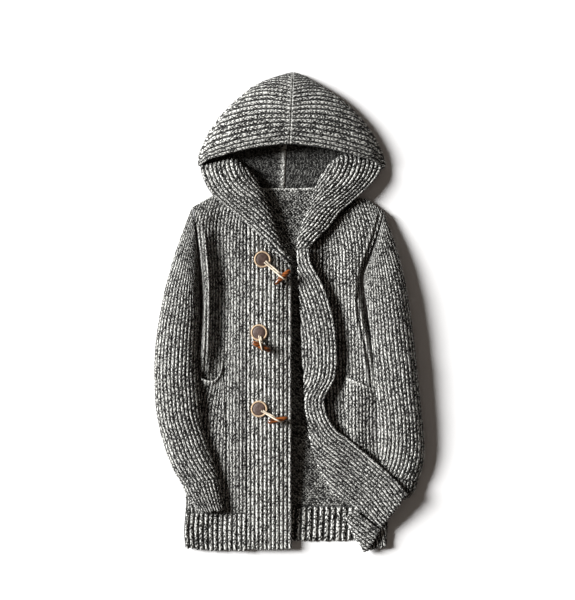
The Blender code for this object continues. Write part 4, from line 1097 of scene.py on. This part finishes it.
# ---------------------------------------------------------------- materials
class Wiring:
    """Adds and joins the nodes of one tree."""

    def __init__(self, tree):
        self.tree = tree

    def add(self, kind, inputs=None, **values):
        """A new node with its own values, and with a number, a colour or another socket on its inputs."""
        node = self.tree.nodes.new(kind)
        for key, value in values.items():
            setattr(node, key, value)
        for key, value in (inputs or {}).items():
            self.feed(node.inputs[key], value)
        return node

    def feed(self, socket, value):
        if isinstance(value, bpy.types.NodeSocket):
            self.tree.links.new(value, socket)
        else:
            socket.default_value = value

    def calc(self, operation, *values):
        node = self.add("ShaderNodeMath", operation=operation)
        for socket, value in zip(node.inputs, values):
            self.feed(socket, value)
        return node.outputs[0]

    def plus(self, total, *values):
        for value in values:
            total = self.calc("ADD", total, value)
        return total

    def minus(self, first, second):
        return self.calc("SUBTRACT", first, second)

    def times(self, first, second):
        return self.calc("MULTIPLY", first, second)

    def centred(self, value, reach):
        """A share from 0 to 1 as a number around 0."""
        return self.times(self.minus(value, 0.5), reach)

    def from_middle(self, value):
        """0 in the middle between two whole numbers, 1 at each of them."""
        return self.calc("ABSOLUTE", self.minus(self.times(self.calc("FRACT", value), 2.0), 1.0))

    def humped(self, value, power):
        """A round hump as the value goes from 0 to 1, flatter on top the lower the power."""
        return self.calc("POWER", self.calc("SINE", self.times(value, math.pi)), power)

    def wave(self, turns):
        return self.calc("COSINE", self.times(turns, 2 * math.pi))

    def draws(self, *cell):
        """Two random numbers for each cell."""
        chance = self.add("ShaderNodeTexWhiteNoise", {"Vector": self.vector(*cell)}, noise_dimensions="3D")
        colour = self.add("ShaderNodeSeparateColor", {"Color": chance.outputs["Color"]}).outputs
        return colour["Red"], colour["Green"]

    def vector(self, x=0.0, y=0.0, z=0.0):
        return self.add("ShaderNodeCombineXYZ", {"X": x, "Y": y, "Z": z}).outputs[0]

    def split(self, vector):
        return self.add("ShaderNodeSeparateXYZ", {"Vector": vector}).outputs

    def attribute(self, name):
        return self.add("ShaderNodeAttribute", attribute_name=name).outputs

    def on_piece(self):
        return self.add("ShaderNodeTexCoord").outputs["Object"]

    def ramp(self, value, low, high, start=0.0, end=1.0):
        """Goes smoothly from `start` to `end` as the value goes from `low` to `high`."""
        inputs = {"Value": value, "From Min": low, "From Max": high, "To Min": start, "To Max": end}
        return self.add("ShaderNodeMapRange", inputs, interpolation_type="SMOOTHSTEP").outputs[0]

    def noise(self, vector, scale, detail=2.0, rough=0.5):
        inputs = {"Vector": vector, "Scale": scale, "Detail": detail, "Roughness": rough}
        return self.add("ShaderNodeTexNoise", inputs).outputs["Fac"]

    def blend(self, share, first, second, kind="MIX"):
        """One colour over another."""
        node = self.add("ShaderNodeMix", data_type="RGBA", blend_type=kind, clamp_factor=True)
        for socket, value in zip((0, 6, 7), (share, first, second)):
            self.feed(node.inputs[socket], value)
        return node.outputs[2]

    def between(self, share, first, second):
        """A number between two others."""
        node = self.add("ShaderNodeMix", data_type="FLOAT")
        for socket, value in zip((0, 2, 3), (share, first, second)):
            self.feed(node.inputs[socket], value)
        return node.outputs[0]


def group(name, inputs, outputs):
    """A new shader node group, its wiring, and the sockets inside it."""
    tree = bpy.data.node_groups.new(name, "ShaderNodeTree")
    for way, sockets in (("INPUT", inputs), ("OUTPUT", outputs)):
        for label, kind in sockets.items():
            tree.interface.new_socket(label, in_out=way, socket_type=kind)
    wiring = Wiring(tree)
    return tree, wiring, wiring.add("NodeGroupInput").outputs, wiring.add("NodeGroupOutput").inputs


def marled_stitch():
    """Group: height, ply and painted shade in the clefts of marled stitches from (wale, course, purl)."""
    if "marled stitch" in bpy.data.node_groups:
        return bpy.data.node_groups["marled stitch"]
    number = "NodeSocketFloat"
    tree, w, given, result = group(
        "marled stitch",
        {"Place": "NodeSocketVector", "Light share": number, "Pale": number, "Unevenness": number},
        {"Height": number, "Ply": number, "Cleft shade": number},
    )
    across, along, purl = w.split(given["Place"])
    flat = w.vector(across, along)
    sway = w.centred(w.noise(flat, 0.55, 1.0), given["Unevenness"])
    drift = w.centred(w.noise(w.vector(along, across, 7.3), 0.8, 1.0), given["Unevenness"])
    wale = w.plus(across, w.times(sway, 0.35))
    course = w.plus(along, w.times(drift, 1.6))

    # The knit face: two legs in each stitch, leaning away from the middle of the wale.
    off = w.from_middle(wale)
    leg = w.minus(course, w.times(off, LEG_LEAN))
    across_leg = w.calc("FRACT", leg)
    turn, face_bias = w.draws(w.calc("FLOOR", w.times(wale, 2.0)), w.calc("FLOOR", leg), 1.0)
    crown = w.plus(w.times(w.ramp(off, 0.35, 0.75, 1.0, 0.0), 0.75), 0.25)
    face_height = w.times(w.humped(across_leg, 0.55), w.ramp(off, 0.0, 0.24, 0.45, 1.0))
    face_height = w.times(face_height, crown)
    face_wave = w.wave(w.plus(across_leg, w.times(off, 1.6), turn))

    # The purl face: rows of short bumps, each row half a wale along from the one before.
    row = w.calc("FLOOR", w.times(course, 2.0))
    shifted = w.plus(wale, w.times(row, 0.5))
    rise = w.plus(w.times(course, 2.0), w.times(w.wave(shifted), 0.16))
    across_bump = w.calc("FRACT", rise)
    turn, purl_bias = w.draws(w.calc("FLOOR", shifted), w.calc("FLOOR", rise), 4.0)
    tapered = w.minus(1.0, w.calc("POWER", w.from_middle(shifted), 4.0))
    purl_height = w.times(w.humped(across_bump, 0.6), tapered)
    along_bump = w.times(w.calc("FRACT", shifted), 0.9)
    purl_wave = w.wave(w.plus(w.times(across_bump, 0.7), along_bump, turn))

    # The plies: each stitch shows more of the light or of the dark one.
    height = w.between(purl, face_height, purl_height)
    wave = w.between(purl, face_wave, purl_wave)
    bias = w.between(purl, face_bias, purl_bias)
    streak = w.noise(w.vector(w.times(across, 0.35), along), 1.7, 2.0)
    fibre = w.noise(flat, 9.0, 3.0, 0.7)
    lean = w.plus(w.centred(bias, 1.7), w.centred(streak, 0.3), w.centred(given["Light share"], 2.0))
    lean = w.plus(lean, w.times(given["Pale"], 0.8))
    ply = w.plus(w.times(wave, 0.8), lean, w.centred(fibre, 1.5))
    strand = w.times(w.calc("ABSOLUTE", wave), 0.12)
    # Painted shade in the clefts: the valleys between the ribs and the low parts of the stitches.
    valley_shade = w.times(w.ramp(off, 0.45, 0.85), w.minus(1.0, purl))
    shaded_cleft = w.calc("MAXIMUM", valley_shade, w.ramp(height, 0.15, 0.78, 1.0, 0.0))
    w.feed(result["Ply"], w.ramp(ply, -0.2, 0.22))
    w.feed(result["Height"], w.plus(height, w.plus(strand, w.times(fibre, 0.12))))
    w.feed(result["Cleft shade"], w.times(shaded_cleft, w.minus(1.0, w.times(given["Pale"], 0.6))))
    return tree


def new_material(name, numbers):
    """A new material, its wiring, and its shader with `numbers` on its own sockets."""
    made = bpy.data.materials.new(name)
    made.use_nodes = True
    shader = made.node_tree.nodes["Principled BSDF"]
    for key, value in numbers.items():
        shader.inputs[key].default_value = value
    return made, Wiring(made.node_tree), shader


def bumped(w, shader, height, distance, strength):
    """Gives a shader the bumps of a height."""
    bump = w.add("ShaderNodeBump", {"Height": height, "Distance": distance, "Strength": strength})
    w.feed(shader.inputs["Normal"], bump.outputs["Normal"])


def toned(colour, factor):
    """A colour made paler or darker by a factor."""
    return tuple(min(1.0, part * factor) for part in colour[:3]) + (1.0,)


def knit_material():
    """Marled yarn, its stitches laid out by each piece's own attributes."""
    if "marled knit" in bpy.data.materials:
        return bpy.data.materials["marled knit"]
    knit = settings().knit
    made, w, shader = new_material(
        "marled knit",
        {"Roughness": 0.92, "Specular IOR Level": 0.2, "Sheen Weight": 0.08, "Sheen Roughness": 0.5},
    )
    place = w.attribute("knit")["Vector"]
    marks = w.add("ShaderNodeSeparateColor", {"Color": w.attribute("marks")["Color"]}).outputs
    inputs = {"Place": place, "Pale": marks["Green"], "Light share": 0.56, "Unevenness": 0.9}
    stitch = w.add("ShaderNodeGroup", inputs, node_tree=marled_stitch()).outputs
    yarn = w.blend(stitch["Ply"], tuple(knit.dark_yarn), tuple(knit.light_yarn))
    tint = w.noise(w.on_piece(), 60.0, 2.0)
    yarn = w.blend(w.times(tint, 0.25), yarn, (0.42, 0.37, 0.30, 1), "MULTIPLY")
    # Painted shade on faces where the purl side shows, the garment's inside, and less of it where they are
    # painted pale.
    inside_shade = w.minus(0.5, w.times(marks["Green"], 0.5))
    yarn = w.blend(w.times(w.split(place)["Z"], inside_shade), yarn, (0.0, 0.0, 0.0, 1))
    # Painted shade in the clefts between stitches and ribs, and each piece's own painted shade from its
    # marks.
    shade = w.calc("MAXIMUM", w.times(stitch["Cleft shade"], 0.95), w.times(marks["Red"], 0.9))
    w.feed(shader.inputs["Base Color"], w.blend(shade, yarn, (0.004, 0.0038, 0.0035, 1)))
    bumped(w, shader, stitch["Height"], 0.0022, 0.9)
    return made


def leather_material():
    """Dark grained leather with slightly worn, paler clouds."""
    if "disc leather" in bpy.data.materials:
        return bpy.data.materials["disc leather"]
    made, w, shader = new_material("disc leather", {})
    place = w.on_piece()
    cells = w.add("ShaderNodeTexVoronoi", {"Vector": place, "Scale": 900.0}, feature="DISTANCE_TO_EDGE")
    cloud = w.noise(place, 160.0, 3.0)
    leather = tuple(settings().toggles.leather)
    w.feed(shader.inputs["Base Color"], w.blend(w.ramp(cloud, 0.35, 0.8), leather, toned(leather, 2.0)))
    w.feed(shader.inputs["Roughness"], w.ramp(cloud, 0.2, 0.8, 0.34, 0.5))
    bumped(w, shader, w.ramp(cells.outputs["Distance"], 0.0, 0.2), 0.0002, 0.5)
    return made


def twisted_material(name, colour, shade_factor):
    """Twisted thread or cord, with painted shade between its strands."""
    if name in bpy.data.materials:
        return bpy.data.materials[name]
    made, w, shader = new_material(name, {"Roughness": 0.8})
    strand = w.split(w.attribute("knit")["Vector"])["X"]
    fibre = w.noise(w.on_piece(), 1500.0, 2.0)
    shaded_cleft = w.ramp(w.calc("ABSOLUTE", w.minus(w.calc("FRACT", strand), 0.5)), 0.34, 0.5)
    # Painted shade between the strands, with an uneven tone along the fibres.
    shade = w.plus(w.times(shaded_cleft, 0.7), w.times(fibre, 0.2))
    w.feed(shader.inputs["Base Color"], w.blend(shade, tuple(colour), toned(colour, shade_factor)))
    bumped(w, shader, w.plus(fibre, w.minus(1.0, shaded_cleft)), 0.0003, 0.6)
    return made


def thread_material():
    return twisted_material("edging thread", settings().toggles.thread, 0.35)


def cord_material():
    return twisted_material("toggle cord", settings().toggles.cord_colour, 0.4)


def horn_material():
    """Polished horn with dark grain along the toggle."""
    if "toggle horn" in bpy.data.materials:
        return bpy.data.materials["toggle horn"]
    made, w, shader = new_material("toggle horn", {"Roughness": 0.22, "Coat Weight": 0.4})
    inputs = {"Vector": w.on_piece(), "Rotation": (0, 0, 0.5), "Scale": (60.0, 260.0, 200.0)}
    grain = w.noise(w.add("ShaderNodeMapping", inputs).outputs[0], 1.0, 3.0, 0.6)
    horn = tuple(settings().toggles.horn)
    w.feed(shader.inputs["Base Color"], w.blend(w.ramp(grain, 0.40, 0.58), horn, toned(horn, 0.14)))
    bumped(w, shader, grain, 0.0003, 0.3)
    return made


# ---------------------------------------------------------------- stage
def make_floor():
    """The plain pale floor."""
    work = bmesh.new()
    bmesh.ops.create_grid(work, x_segments=1, y_segments=1, size=FLOOR_REACH)
    mesh = bpy.data.meshes.new("floor")
    work.to_mesh(mesh)
    work.free()
    made, _, shader = new_material("pale floor", {"Roughness": 0.9, "Specular IOR Level": 0.0})
    shader.inputs["Base Color"].default_value = tuple(settings().stage.floor)
    mesh.materials.append(made)
    floor = bpy.data.objects.new("floor", mesh)
    bpy.context.scene.collection.objects.link(floor)
    floor.location.z = -FLOOR_DROP


def make_lights():
    """A faint warm light from all round, and a large soft lamp low on the left."""
    stage = settings().stage
    world = bpy.data.worlds.new("soft light from all round")
    world.use_nodes = True
    background = world.node_tree.nodes["Background"]
    background.inputs["Color"].default_value = (1.0, 0.85, 0.74, 1)
    background.inputs["Strength"].default_value = stage.fill
    bpy.context.scene.world = world

    lamp = bpy.data.lights.new("key", "SUN")
    lamp.angle = math.radians(KEY_SPREAD)
    lamp.energy = stage.key
    key = bpy.data.objects.new("key", lamp)
    bpy.context.scene.collection.objects.link(key)
    elevation = math.radians(KEY_ELEVATION)
    azimuth = math.radians(KEY_AZIMUTH)
    level_part = math.cos(elevation)
    toward = Vector((math.cos(azimuth) * level_part, math.sin(azimuth) * level_part, math.sin(elevation)))
    key.location = toward * KEY_DISTANCE
    key.rotation_euler = toward.to_track_quat("Z", "Y").to_euler()


def make_camera():
    """A camera straight above, far enough away to show nearly no perspective."""
    scene = bpy.context.scene
    lens = bpy.data.cameras.new("view")
    lens.sensor_width = SENSOR
    lens.lens = SENSOR * CAMERA_HEIGHT / (PICTURE_HEIGHT * STEP)
    lens.clip_end = 50
    camera = bpy.data.objects.new("view", lens)
    scene.collection.objects.link(camera)
    x = (PICTURE_WIDTH / 2 - MIDDLE_X) * STEP
    y = (MIDDLE_Y - PICTURE_HEIGHT / 2) * STEP
    camera.location = (x, y, CAMERA_HEIGHT)
    scene.camera = camera
    scene.view_settings.view_transform = "Standard"
    scene.view_settings.look = "None"


# ---------------------------------------------------------------- operators
class CARDIGAN_OT_stage(bpy.types.Operator):
    """Make the floor, the lights and the camera"""

    bl_idname = "cardigan.stage"
    bl_label = "Stage"
    bl_options = {"REGISTER", "UNDO"}

    def execute(self, context):
        make_floor()
        make_lights()
        make_camera()
        return {"FINISHED"}


class CARDIGAN_OT_back(bpy.types.Operator):
    """Make the back panel and its hem rib"""

    bl_idname = "cardigan.back"
    bl_label = "Back"
    bl_options = {"REGISTER", "UNDO"}

    def execute(self, context):
        make_back()
        return {"FINISHED"}


class CARDIGAN_OT_front_left(bpy.types.Operator):
    """Make the front that lies face up, with its hem rib and placket band"""

    bl_idname = "cardigan.front_left"
    bl_label = "Left front"
    bl_options = {"REGISTER", "UNDO"}

    def execute(self, context):
        make_front_left()
        return {"FINISHED"}


class CARDIGAN_OT_front_right(bpy.types.Operator):
    """Make the front that is turned open, with its hem rib and placket band"""

    bl_idname = "cardigan.front_right"
    bl_label = "Right front"
    bl_options = {"REGISTER", "UNDO"}

    def execute(self, context):
        make_front_right()
        return {"FINISHED"}


class CARDIGAN_OT_sleeves(bpy.types.Operator):
    """Make both sleeves and their cuffs"""

    bl_idname = "cardigan.sleeves"
    bl_label = "Sleeves"
    bl_options = {"REGISTER", "UNDO"}

    def execute(self, context):
        make_sleeves()
        return {"FINISHED"}


class CARDIGAN_OT_hood(bpy.types.Operator):
    """Make both halves of the hood and its turned edge"""

    bl_idname = "cardigan.hood"
    bl_label = "Hood"
    bl_options = {"REGISTER", "UNDO"}

    def execute(self, context):
        make_hood()
        return {"FINISHED"}


class CARDIGAN_OT_pockets(bpy.types.Operator):
    """Make both patch pockets"""

    bl_idname = "cardigan.pockets"
    bl_label = "Pockets"
    bl_options = {"REGISTER", "UNDO"}

    def execute(self, context):
        make_pockets()
        return {"FINISHED"}


class CARDIGAN_OT_toggles(bpy.types.Operator):
    """Make the three discs, their cords and the toggles"""

    bl_idname = "cardigan.toggles"
    bl_label = "Toggles"
    bl_options = {"REGISTER", "UNDO"}

    def execute(self, context):
        make_toggles()
        return {"FINISHED"}


STEPS = (
    CARDIGAN_OT_stage,
    CARDIGAN_OT_back,
    CARDIGAN_OT_front_left,
    CARDIGAN_OT_front_right,
    CARDIGAN_OT_sleeves,
    CARDIGAN_OT_hood,
    CARDIGAN_OT_pockets,
    CARDIGAN_OT_toggles,
)


class CARDIGAN_PT_panel(bpy.types.Panel):
    """Sizes, colours and steps of the hooded cardigan"""

    bl_idname = "CARDIGAN_PT_panel"
    bl_label = "Hooded cardigan"
    bl_space_type = "VIEW_3D"
    bl_region_type = "UI"
    bl_category = "Cardigan"

    def draw(self, context):
        chosen = context.scene.cardigan
        for label, part in (("Knit", chosen.knit), ("Toggles", chosen.toggles), ("Stage", chosen.stage)):
            box = self.layout.box()
            box.label(text=label)
            for field in part.bl_rna.properties:
                if field.identifier not in ("rna_type", "name"):
                    box.prop(part, field.identifier)
        for step in STEPS:
            self.layout.operator(step.bl_idname)


CLASSES = (KnitSettings, ToggleSettings, StageSettings, CardiganSettings, *STEPS, CARDIGAN_PT_panel)


def register():
    for made in CLASSES:
        bpy.utils.register_class(made)
    bpy.types.Scene.cardigan = bpy.props.PointerProperty(type=CardiganSettings)


def unregister():
    del bpy.types.Scene.cardigan
    for made in reversed(CLASSES):
        bpy.utils.unregister_class(made)


def main():
    register()
    bpy.ops.cardigan.stage()
    bpy.ops.cardigan.back()
    bpy.ops.cardigan.front_left()
    bpy.ops.cardigan.front_right()
    bpy.ops.cardigan.sleeves()
    bpy.ops.cardigan.hood()
    bpy.ops.cardigan.pockets()
    bpy.ops.cardigan.toggles()


if __name__ == "__main__":
    main()
